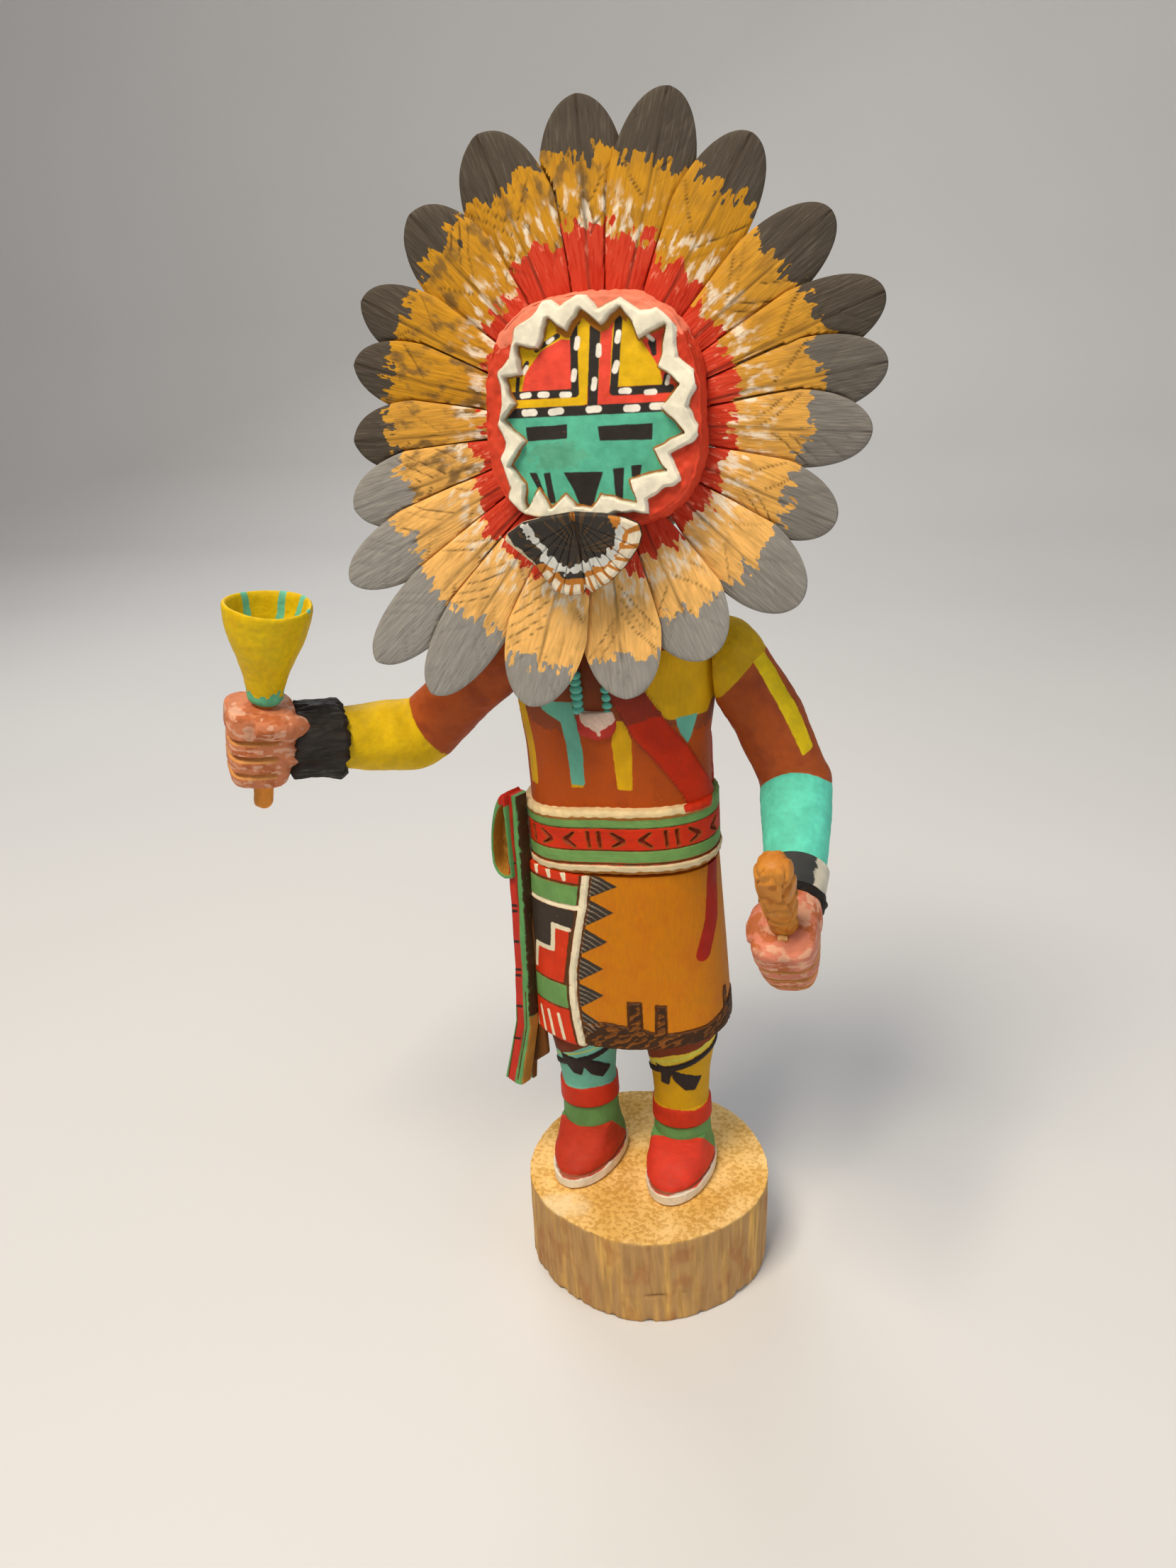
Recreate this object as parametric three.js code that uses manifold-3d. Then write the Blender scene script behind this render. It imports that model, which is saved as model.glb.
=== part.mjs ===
// A carved and painted wooden sun-face doll, standing on its own round wood base.
// Millimetres, +Z up. Origin: middle of the base's underside. The doll faces -Y and its left is +X.

import * as THREE from "three";
import { mergeVertices } from "three/addons/utils/BufferGeometryUtils.js";
import Module from "manifold-3d";

const wasm = await Module();
wasm.setup();

// ---------------------------------------------------------------- driving dimensions
const CLEARANCE = 0.3; // between pieces that touch

const BASE = { radius: 41.8, ovality: 1.7, ovalAngle: -10, height: 36, edge: 0.9, slant: -1.5 };

const BODY_Y = 4; // the body's axis stands this far behind the base's middle
const KILT = { bottom: 96, top: 160, wide: 33.6, deep: 21.5, waistWide: 31.4, waistDeep: 19.5, x: -2.6, rise: 2.4 };
const PANEL = { proud: 0.9, right: -15.5, bottom: 95.5 };
const BELT = { bottom: 159, top: 182.5, wide: 30.2, deep: 19.5, x: -1.8 };
const TORSO = { shoulder: 30, top: 243, x: -1.8 };
const ARM_JOINT = TORSO.shoulder; // the arms meet the trunk on flat faces this far from the middle
const NECK = { radius: 14, top: 266 };

const HEAD = { x: 6, y: -20, z: 297, tilt: 5 }; // middle of the feather fan, on its back plane
const CORE = { wide: 26, tall: 30, deep: 40, drop: 4 }; // the head block behind the fan
const MASK = { wide: 28.6, tall: 31.6, chin: 26.5, square: 2.4, boss: 21.5, back: 3.6, rim: 12.6, band: 14.4, face: 11.6, dome: 2 };
const BAND_WIDTH = 4.6;
// The zigzag band round the face, tooth by tooth: where each crest stands, and the notch that follows it.
const TEETH = [
  { crest: [1, 30], notch: [10, 23.3] },
  { crest: [19, 30.3], notch: [33, 24.3] },
  { crest: [43, 31], notch: [57, 22.2] },
  { crest: [72, 28.6], notch: [83, 19] },
  { crest: [97, 27.4], notch: [111, 17.2] },
  { crest: [124, 26.5], notch: [139, 17.5] },
  { crest: [151, 26], notch: [164, 17.6] },
  { crest: [176, 26.5], notch: [190, 18] },
  { crest: [200, 27.5], notch: [209, 20] },
  { crest: [216, 30], notch: [224, 22.5] },
  { crest: [231, 30], notch: [241, 23.8] },
  { crest: [251, 26.6], notch: [261, 20.6] },
  { crest: [270, 25.4], notch: [279, 20.2] },
  { crest: [289, 25.6], notch: [297, 20.8] },
  { crest: [306, 27], notch: [314, 21.6] },
  { crest: [323, 29.2], notch: [333, 22.4] },
  { crest: [346, 30.2], notch: [354, 23] },
];

const FEATHER = { root: 23, rootHalf: 3.1, edge: 1.5, crown: 2.5, twist: 6, broad: 0.6 };
// Each feather as it was cut: its bearing from the top, its reach from the middle and its width.
const FEATHER_CUTS = [
  { bearing: -2, reach: 76, width: 22 },
  { bearing: 15, reach: 78, width: 21 },
  { bearing: 32, reach: 75, width: 20 },
  { bearing: 52, reach: 74, width: 19 },
  { bearing: 69, reach: 76, width: 19 },
  { bearing: 81, reach: 73, width: 19 },
  { bearing: 94, reach: 69, width: 19 },
  { bearing: 114, reach: 66, width: 19.5 },
  { bearing: 133, reach: 70, width: 21 },
  { bearing: 157, reach: 68, width: 23 },
  { bearing: 177, reach: 74, width: 23.5 },
  { bearing: 198, reach: 80, width: 23 },
  { bearing: 216.5, reach: 91, width: 19 },
  { bearing: 228, reach: 95, width: 18.5 },
  { bearing: 242, reach: 86, width: 18 },
  { bearing: 254.5, reach: 75, width: 20 },
  { bearing: 268.5, reach: 70, width: 19 },
  { bearing: 285, reach: 70, width: 18 },
  { bearing: 298, reach: 72, width: 19 },
  { bearing: 318, reach: 71.5, width: 22.5 },
  { bearing: 338, reach: 75, width: 24.5 },
];

// ---------------------------------------------------------------- geometry helpers
const point = (x, y, z) => new THREE.Vector3(x, y, z);
const radians = THREE.MathUtils.degToRad;
const lerp = THREE.MathUtils.lerp;
const signedPower = (value, power) => Math.sign(value) * Math.abs(value) ** power;

// A closed skin over a row of equal rings; each end is a fan to the middle of its ring.
function skin(rings) {
  const sides = rings[0].length;
  const positions = rings.flat().flatMap((p) => p.toArray());
  const index = [];
  for (let row = 0; row + 1 < rings.length; row += 1) {
    for (let side = 0; side < sides; side += 1) {
      const next = (side + 1) % sides;
      const [a, b] = [row * sides + side, row * sides + next];
      const [c, d] = [a + sides, b + sides];
      index.push(a, b, d, a, d, c);
    }
  }
  for (const [row, flip] of [[0, true], [rings.length - 1, false]]) {
    const middle = rings[row].reduce((sum, p) => sum.add(p), point(0, 0, 0)).divideScalar(sides);
    const hub = positions.length / 3;
    positions.push(...middle.toArray());
    for (let side = 0; side < sides; side += 1) {
      const [a, b] = [row * sides + side, row * sides + ((side + 1) % sides)];
      index.push(...(flip ? [b, a, hub] : [a, b, hub]));
    }
  }
  const geometry = new THREE.BufferGeometry();
  geometry.setAttribute("position", new THREE.Float32BufferAttribute(positions, 3));
  geometry.setIndex(index);
  if (volume(geometry) < 0) geometry.setIndex(index.reverse());
  return geometry;
}

function volume(geometry) {
  const place = geometry.getAttribute("position");
  const corner = [0, 1, 2].map(() => point(0, 0, 0));
  let total = 0;
  for (let i = 0; i < geometry.index.count; i += 3) {
    corner.forEach((p, k) => p.fromBufferAttribute(place, geometry.index.getX(i + k)));
    total += corner[0].dot(corner[1].clone().cross(corner[2])) / 6;
  }
  return total;
}

function toSolid(geometry) {
  const bare = geometry.clone();
  bare.deleteAttribute("normal");
  bare.deleteAttribute("uv");
  const merged = mergeVertices(bare);
  return new wasm.Manifold(new wasm.Mesh({
    numProp: 3,
    vertProperties: new Float32Array(merged.getAttribute("position").array),
    triVerts: new Uint32Array(merged.index.array),
  }));
}

function toGeometry(solid) {
  const mesh = solid.getMesh();
  const geometry = new THREE.BufferGeometry();
  geometry.setAttribute("position", new THREE.Float32BufferAttribute(mesh.vertProperties, 3));
  geometry.setIndex(new THREE.Uint32BufferAttribute(mesh.triVerts, 1));
  geometry.computeVertexNormals();
  return geometry;
}

const solidSkin = (rings) => toSolid(skin(rings));
const union = (solids) => solids.reduce((sum, solid) => sum.add(solid));

// A box given by its lowest and highest corners.
function block(low, high) {
  const geometry = new THREE.BoxGeometry(high[0] - low[0], high[1] - low[1], high[2] - low[2]);
  geometry.translate((low[0] + high[0]) / 2, (low[1] + high[1]) / 2, (low[2] + high[2]) / 2);
  return geometry;
}

// A level ring: an oval whose corners square off as the power rises above 2.
function oval({ z, x = 0, y = BODY_Y, wide, deep, power = 2, sides = 24 }) {
  return Array.from({ length: sides }, (_, i) => {
    const turn = (2 * Math.PI * i) / sides;
    const px = x + wide * signedPower(Math.cos(turn), 2 / power);
    const py = y + deep * signedPower(Math.sin(turn), 2 / power);
    return point(px, py, z);
  });
}

// Rings square to a path through stations {at, wide, deep}; wide lies across the given side direction.
function limbRings(stations, side, sides = 14, power = 2) {
  return stations.map((station, i) => {
    const before = stations[Math.max(i - 1, 0)].at;
    const after = stations[Math.min(i + 1, stations.length - 1)].at;
    const along = after.clone().sub(before).normalize();
    const across = side.clone().addScaledVector(along, -side.dot(along)).normalize();
    const third = along.clone().cross(across);
    return Array.from({ length: sides }, (_, k) => {
      const turn = (2 * Math.PI * k) / sides;
      return station.at.clone()
        .addScaledVector(across, station.wide * signedPower(Math.cos(turn), 2 / power))
        .addScaledVector(third, station.deep * signedPower(Math.sin(turn), 2 / power));
    });
  });
}

const limb = (stations, side, sides, power) => solidSkin(limbRings(stations, side, sides, power));
const station = (at, wide, deep = wide) => ({ at: point(...at), wide, deep });

const parts = [];
function addPart(parent, name, geometry, color, roughness) {
  const material = new THREE.MeshStandardMaterial({ color, roughness, metalness: 0 });
  const mesh = new THREE.Mesh(geometry, material);
  mesh.name = name;
  parent.add(mesh);
  parts.push(mesh);
  return mesh;
}

const doll = new THREE.Group();

// ---------------------------------------------------------------- base: a slice of a cottonwood root
const BASE_SIDES = 36;
function baseRing(z, inset) {
  const shift = BASE.slant * (1 - z / BASE.height);
  return Array.from({ length: BASE_SIDES }, (_, i) => {
    const turn = (2 * Math.PI * i) / BASE_SIDES;
    const swell = BASE.ovality * Math.cos(2 * (turn - radians(BASE.ovalAngle)));
    const radius = BASE.radius + swell + 0.5 * Math.cos(5 * turn + 1) - inset;
    return point(shift + radius * Math.cos(turn), radius * Math.sin(turn), z);
  });
}
const baseBlank = solidSkin([
  baseRing(0, BASE.edge),
  baseRing(BASE.edge, 0),
  baseRing(BASE.height - BASE.edge, 0),
  baseRing(BASE.height, BASE.edge),
]);
const chip = new THREE.BoxGeometry(12, 7, 5);
chip.rotateX(radians(35));
chip.rotateZ(radians(-45));
chip.translate(-30.5, -30.5, BASE.height);
addPart(doll, "base", toGeometry(baseBlank.subtract(toSolid(chip))), 0xd9ab62, 0.8);

// ---------------------------------------------------------------- figure: legs, kilt, belt, trunk and head block
const SOLE = BASE.height + CLEARANCE;

// An egg-shaped level ring for a moccasin: the toe end is longer and narrower than the heel.
function eggRing(foot, z, half, toe, heel) {
  const sides = 16;
  const turnOut = radians(foot.turn);
  return Array.from({ length: sides }, (_, i) => {
    const turn = (2 * Math.PI * i) / sides;
    const reach = Math.cos(turn) > 0 ? toe : heel;
    const across = half * signedPower(Math.sin(turn), Math.cos(turn) > 0 ? 0.95 : 0.8);
    const along = reach * signedPower(Math.cos(turn), 0.9);
    return point(
      foot.x + across * Math.cos(turnOut) + along * Math.sin(turnOut),
      foot.y + across * Math.sin(turnOut) - along * Math.cos(turnOut),
      z,
    );
  });
}

function moccasin(foot) {
  return solidSkin([
    eggRing(foot, SOLE, 11.2, 20, 16),
    eggRing(foot, SOLE + 3.2, 11.4, 20.2, 16),
    eggRing(foot, SOLE + 3.6, 10.8, 19.2, 15.4),
    eggRing(foot, SOLE + 8, 10.6, 15.8, 15),
    eggRing(foot, SOLE + 12, 10.2, 11, 14.2),
    eggRing(foot, SOLE + 16, 9.8, 7.5, 13),
  ]);
}

function leg({ foot, hip }) {
  const down = (z, half) => {
    const share = (z - SOLE) / (KILT.bottom + 8 - SOLE);
    return station([lerp(foot.x, hip[0], share), lerp(foot.y + 3, hip[1], share), z], half);
  };
  return union([
    limb([down(46, 10.2), down(53, 10.5), down(56.5, 9.9)], point(1, 0, 0), 12),
    limb([down(55, 10), down(56, 10.6), down(64, 10.3), down(65, 9.6)], point(1, 0, 0), 12),
    limb([down(50, 9), down(66, 9.3), down(78, 10.4), down(90, 12.6), down(103, 13)], point(1, 0, 0), 12),
  ]);
}

const LEGS = [
  { foot: { x: -20.8, y: 0.5, turn: -13 }, hip: [-20.2, 3.5] },
  { foot: { x: 13, y: -2, turn: -8 }, hip: [13.6, 3.5] },
];

function kiltRing(z, proud = 0) {
  const share = Math.min(Math.max((z - KILT.bottom) / (KILT.top - KILT.bottom), 0), 1);
  const ring = oval({
    z,
    x: KILT.x,
    wide: lerp(KILT.wide, KILT.waistWide, share ** 1.3) + proud,
    deep: lerp(KILT.deep, KILT.waistDeep, share ** 1.3) + proud,
    power: 2.3,
  });
  const rise = (x) => KILT.rise * Math.max(x / KILT.wide, 0) * (1 - share);
  return ring.map(({ x, y }) => point(x, y, z + rise(x)));
}
const kilt = solidSkin([
  kiltRing(KILT.bottom, -0.6),
  kiltRing(KILT.bottom + 0.8, 0.5),
  kiltRing(KILT.bottom + 6, 0.5),
  kiltRing(KILT.bottom + 6.6),
  kiltRing(KILT.top),
]);
const panel = solidSkin([kiltRing(PANEL.bottom, PANEL.proud), kiltRing(120, PANEL.proud), kiltRing(KILT.top, PANEL.proud)])
  .intersect(toSolid(block([-60, -60, 80], [PANEL.right, BODY_Y, 170])));

const beltRing = (z, proud) => oval({ z, x: BELT.x, wide: BELT.wide + proud, deep: BELT.deep + proud, power: 2.3 });
const belt = solidSkin([
  beltRing(BELT.bottom, 0.9),
  beltRing(BELT.bottom + 0.6, 1.7),
  beltRing(BELT.bottom + 3, 1.7),
  beltRing(BELT.bottom + 3.3, 0.9),
  beltRing(BELT.top - 3.6, 0.9),
  beltRing(BELT.top - 3.2, 1.8),
  beltRing(BELT.top, 1.2),
]);

function torsoRings(proud = 0) {
  const levels = [
    { z: 170, wide: 29.2, deep: 18 },
    { z: 186, wide: 29, deep: 17.5 },
    { z: 200, wide: 29, deep: 17.5 },
    { z: 214, wide: 31.2, deep: 18.5 },
    { z: 228, wide: 34, deep: 18 },
    { z: 236, wide: 32, deep: 15.5 },
    { z: 241, wide: 25, deep: 13 },
    { z: TORSO.top + 1, wide: 14, deep: 11 },
  ];
  return levels.map(({ z, wide, deep }) => {
    return oval({ z, x: TORSO.x, wide: wide + proud, deep: deep + proud, power: 2.4, sides: 20 });
  });
}
const trunkLimit = toSolid(block([-ARM_JOINT, -60, 150], [ARM_JOINT, 60, 250]));
const strapSlab = block([-5.2, -60, -60], [5.2, 60, 60]);
strapSlab.rotateY(radians(-38));
strapSlab.translate(11, 0, 205);
const strap = solidSkin(torsoRings(0.8)).intersect(toSolid(strapSlab))
  .intersect(toSolid(block([-60, -60, BELT.top - 4], [60, BODY_Y, 236])));
const torso = union([solidSkin(torsoRings()), strap]).intersect(trunkLimit);

const pendant = new THREE.SphereGeometry(4.6, 10, 6);
pendant.scale(1, 0.45, 0.75);
pendant.translate(-2.5, BODY_Y - 18.2, 212);
const beads = [-7, 1.6].map((x) => {
  const strand = new THREE.CylinderGeometry(1.6, 1.6, 8, 6);
  strand.rotateX(Math.PI / 2);
  strand.rotateX(Math.PI / 2);
  strand.translate(x, BODY_Y - 17.8, 218.5);
  return toSolid(strand);
});

// The head block ends on a flat face that leans with the fan.
const lean = new THREE.Matrix4()
  .makeRotationX(radians(-HEAD.tilt))
  .setPosition(HEAD.x, HEAD.y, HEAD.z);
const headBlock = (() => {
  const rings = [[0, 0.94], [6, 1], [22, 1], [33, 0.8], [CORE.deep, 0.35]].map(([y, share]) => {
    return Array.from({ length: 20 }, (_, i) => {
      const turn = (2 * Math.PI * i) / 20;
      return point(CORE.wide * share * Math.cos(turn), CLEARANCE + y, CORE.tall * share * Math.sin(turn) - CORE.drop)
        .applyMatrix4(lean);
    });
  });
  return solidSkin(rings);
})();
const neck = limb([
  station([0, BODY_Y, TORSO.top - 6], 14, 12),
  station([1, BODY_Y, TORSO.top + 3], NECK.radius),
  station([4, BODY_Y - 1, NECK.top + 10], NECK.radius),
], point(1, 0, 0), 14);

const figure = union([
  ...LEGS.map(({ foot }) => moccasin(foot)),
  ...LEGS.map(leg),
  kilt,
  panel,
  belt,
  torso,
  toSolid(pendant),
  ...beads,
  neck,
  headBlock,
]);
addPart(doll, "figure", toGeometry(figure), 0xa3481f, 0.6);

// ---------------------------------------------------------------- head dress: built flat, then leaned with the head
// Inside this group +X is the doll's left, -Y is out of the face and +Z is up along the fan.
const headDress = new THREE.Group();
headDress.position.set(HEAD.x, HEAD.y, HEAD.z);
headDress.rotation.x = radians(-HEAD.tilt);
doll.add(headDress);

// One wooden feather: a flat board with a low crown, wedge-shaped at the root and round at the tip.
function feather(cut, margin) {
  const rows = 6;
  const reach = cut.reach + margin;
  const rings = Array.from({ length: rows + 1 }, (_, row) => {
    const share = row / rows;
    const along = share < 0.5 ? share * 1.2 : 0.6 + 0.4 * Math.sin((share - 0.5) * Math.PI);
    const radius = lerp(FEATHER.root, reach, along);
    const full = cut.width / 2;
    const wedge = lerp(FEATHER.rootHalf, full, Math.min(along / FEATHER.broad, 1) ** 0.8);
    const tip = Math.max((along - FEATHER.broad) / (1 - FEATHER.broad), 0);
    const half = Math.max(wedge * Math.sqrt(Math.max(1 - tip ** 2.2, 0)), 1.2) + margin;
    const thin = lerp(1, 0.75, tip);
    const back = margin;
    const edge = -FEATHER.edge * thin - margin;
    const crown = -FEATHER.crown * thin - margin;
    return [
      point(-half, back, radius),
      point(half, back, radius),
      point(half, edge, radius),
      point(0, crown, radius),
      point(-half, edge, radius),
    ];
  });
  const geometry = skin(rings);
  geometry.rotateZ(radians(cut.twist));
  geometry.translate(0, -cut.lift, 0);
  geometry.rotateY(radians(cut.bearing));
  return toSolid(geometry);
}

// The mask: a squat drum with the zigzag band round its front edge and the face let in behind it.
const polar = (radius, bearing, height) => {
  const turn = radians(bearing);
  return point(radius * Math.sin(turn), -height, radius * Math.cos(turn));
};
function drumRadius(bearing, inset = 0) {
  const [s, c] = [Math.sin(radians(bearing)), Math.cos(radians(bearing))].map(Math.abs);
  const upright = Math.cos(radians(bearing)) > 0 ? MASK.tall : MASK.chin;
  const [wide, tall] = [MASK.wide - inset, upright - inset];
  return ((s / wide) ** MASK.square + (c / tall) ** MASK.square) ** (-1 / MASK.square);
}
const corners = TEETH.flatMap(({ crest, notch }) => [
  { bearing: crest[0], outer: crest[1], inner: crest[1] - BAND_WIDTH },
  { bearing: notch[0], outer: notch[1] + BAND_WIDTH - 0.6, inner: notch[1] },
]);
const maskRing = (radiusAt, height) => corners.map((corner) => polar(radiusAt(corner), corner.bearing, height));
const mask = solidSkin([
  maskRing(() => MASK.boss, 0),
  maskRing(() => MASK.boss, MASK.back),
  maskRing(({ bearing }) => drumRadius(bearing, 0.6), MASK.back),
  maskRing(({ bearing }) => drumRadius(bearing), MASK.back + 1),
  maskRing(({ bearing }) => drumRadius(bearing, 1.4), MASK.rim - 1),
  maskRing(({ bearing }) => drumRadius(bearing, 2), MASK.rim),
  maskRing(({ outer, bearing }) => Math.min(outer, drumRadius(bearing, 2.1)) - 0.1, MASK.rim + 0.1),
  maskRing(({ outer, bearing }) => Math.min(outer, drumRadius(bearing, 2.1)) - 0.5, MASK.band),
  maskRing(({ inner }) => inner + 0.2, MASK.band),
  maskRing(({ inner }) => inner, MASK.face),
  maskRing(({ inner }) => inner * 0.45, MASK.face + MASK.dome),
]);
addPart(headDress, "mask", toGeometry(mask), 0x35a287, 0.6);

// Room that the mask takes up, for what is fitted against it.
const drumSpace = (margin, front) => solidSkin([
  maskRing(() => MASK.boss + margin, -1),
  maskRing(() => MASK.boss + margin, MASK.back - margin),
  maskRing(({ bearing }) => drumRadius(bearing) + margin, MASK.back - margin),
  maskRing(({ bearing }) => drumRadius(bearing) + margin, front + margin),
]);

// Feathers lap downwards on both sides, so each upper edge lies over the feather above it.
const bottomFeather = 11;
const cuts = FEATHER_CUTS.map((cut, i) => {
  const side = i === bottomFeather ? 0 : Math.sign(bottomFeather - i);
  return { ...cut, twist: side * FEATHER.twist, lift: i === bottomFeather ? 1.8 : 0.9 };
});
const order = cuts.map((_, i) => i).sort((a, b) => Math.abs(a - bottomFeather) - Math.abs(b - bottomFeather));
const laid = [];
const feathers = new Map();
for (const i of order) {
  let solid = feather(cuts[i], 0).subtract(drumSpace(CLEARANCE, MASK.rim));
  for (const j of laid) {
    const apart = Math.abs(i - j);
    if (Math.min(apart, cuts.length - apart) <= 2) solid = solid.subtract(feather(cuts[j], CLEARANCE));
  }
  const pieces = solid.decompose().sort((a, b) => b.volume() - a.volume());
  feathers.set(i, pieces[0]);
  laid.push(i);
}
cuts.forEach((_, i) => {
  const name = `feather_${String(i + 1).padStart(2, "0")}`;
  addPart(headDress, name, toGeometry(feathers.get(i)), i % 2 ? 0xd98a2b : 0xcf7f22, 0.65);
});

// The butterfly at the chin: two wings cut from one thin board that leans from the face's edge down to the feathers.
const BUTTERFLY = { x: -4.5, z: -21.5, thick: 2.4, lean: 14, height: MASK.band + CLEARANCE };
const wings = new THREE.Shape();
wings.moveTo(-1.5, 0);
wings.bezierCurveTo(-8, -0.5, -17, -1.5, -20, -6);
wings.bezierCurveTo(-19, -11, -14, -13.5, -10.5, -20.5);
wings.bezierCurveTo(-8, -22.6, -3, -22.6, 0, -21.4);
wings.lineTo(0.8, -19.4);
wings.lineTo(2.4, -21.2);
wings.bezierCurveTo(8, -20.5, 10, -15, 15, -10);
wings.bezierCurveTo(17.5, -6, 17.5, -3.5, 13, -1.6);
wings.bezierCurveTo(9, 0, 4, 0, -1.5, 0);
const wingBoard = new THREE.ExtrudeGeometry(wings, {
  depth: BUTTERFLY.thick - 0.8,
  curveSegments: 4,
  bevelEnabled: true,
  bevelSize: 0.4,
  bevelThickness: 0.4,
  bevelSegments: 1,
  bevelOffset: -0.4,
});
wingBoard.rotateX(Math.PI / 2);
wingBoard.rotateX(radians(BUTTERFLY.lean));
wingBoard.translate(BUTTERFLY.x, -BUTTERFLY.height - 0.4, BUTTERFLY.z);
const butterfly = toSolid(wingBoard).subtract(drumSpace(CLEARANCE, MASK.band));
addPart(headDress, "butterfly", toGeometry(butterfly), 0x3a3632, 0.7);

// ---------------------------------------------------------------- arms, each one carved piece with its cuff and fist
// A fist is built about its grip: +X runs on from the forearm, +Y is the palm side, +Z is up the rod it holds.
const FIST = { back: -9, front: 11.8, half: 9.5, fingers: 4, groove: 1.0, grooveDeep: 1.5, sides: 16 };

function fistSolid({ thumb: thumbReach, tall }) {
  const middle = (FIST.back + FIST.front) / 2;
  const long = (FIST.front - FIST.back) / 2;
  const levels = [[-tall, 0.72], [-tall + 3.5, 0.96], [tall - 2.5, 1], [tall, 0.86]];
  const knuckles = solidSkin(levels.map(([z, share]) => {
    return oval({ z, x: middle, y: 0, wide: long * share, deep: FIST.half * share, power: 3.4, sides: FIST.sides });
  }));
  const grooves = Array.from({ length: FIST.fingers - 1 }, (_, i) => {
    const z = lerp(-tall, tall - 2, (i + 1) / FIST.fingers);
    const slit = toSolid(block([-20, -20, z - FIST.groove / 2], [20, 20, z + FIST.groove / 2]));
    const inner = solidSkin([z - 2, z + 2].map((level) => oval({
      z: level,
      x: middle - 0.5,
      y: -1,
      wide: long - FIST.grooveDeep + 0.5,
      deep: FIST.half - FIST.grooveDeep + 1,
      power: 3.4,
      sides: FIST.sides,
    })));
    return slit.subtract(inner).subtract(toSolid(block([-20, -20, -20], [-3, 20, 20])));
  });
  const thumb = limb([
    station([-12, thumbReach - 6, tall - 6.5], 3.3),
    station([-6, thumbReach - 1.8, tall - 4.4], 4.1),
    station([0, thumbReach, tall - 3.4], 4),
    station([4.5, thumbReach, tall - 3.6], 2.8),
  ], point(0, 0, 1), 8);
  const heel = limb([station([-15, 0, 1], 8.5), station([-9, 0, 1], 10), station([-4, 0, 1], 9)], point(0, 0, 1), 10);
  return union([...grooves.reduce((sum, groove) => sum.subtract(groove), knuckles).decompose().slice(0, 1), thumb, heel]);
}

function gripFrame({ at, along, grip }) {
  const ahead = point(...along).normalize();
  const up = point(...grip).normalize();
  up.addScaledVector(ahead, -up.dot(ahead)).normalize();
  return { ahead, up, at: point(...at) };
}

// The frame's matrix; palm is +1 or -1 for which side the fingers close on.
function gripMatrix(hand) {
  const { ahead, up, at } = gripFrame(hand);
  const side = up.clone().cross(ahead).multiplyScalar(hand.palm);
  return new THREE.Matrix4().makeBasis(ahead, side, up).setPosition(at);
}

const RIGHT = {
  shoulder: [-ARM_JOINT, BODY_Y, 229.5],
  mid: [-50, 6, 215],
  elbow: [-69.2, 8, 197.3],
  at: [-109.6, -22, 205.5],
  along: [-0.79, -0.59, 0.16],
  grip: [0.345, 0, 0.94],
  palm: 1,
  thumb: 9.6,
  tall: 13.3,
  fist: 1,
  cuff: { from: -24, to: -9, radius: 13 },
  upperRadius: 10.6,
  elbowRadius: 11.8,
  foreRadius: 11.2,
  wristRadius: 9.4,
  rod: 3.15,
};
const LEFT = {
  shoulder: [ARM_JOINT, BODY_Y, 228],
  mid: [44.5, 4.5, 208],
  elbow: [53.5, 5, 185],
  at: [55.7, -44.3, 157.1],
  along: [0.01, -0.88, -0.47],
  grip: [-0.06, -0.47, 0.88],
  palm: -1,
  thumb: 8.2,
  tall: 12.6,
  fist: 0.93,
  cuff: { from: -26, to: -13, radius: 9.7 },
  upperRadius: 10.8,
  elbowRadius: 11,
  foreRadius: 10,
  wristRadius: 8.6,
  rod: 4,
  wedged: true,
};

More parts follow.
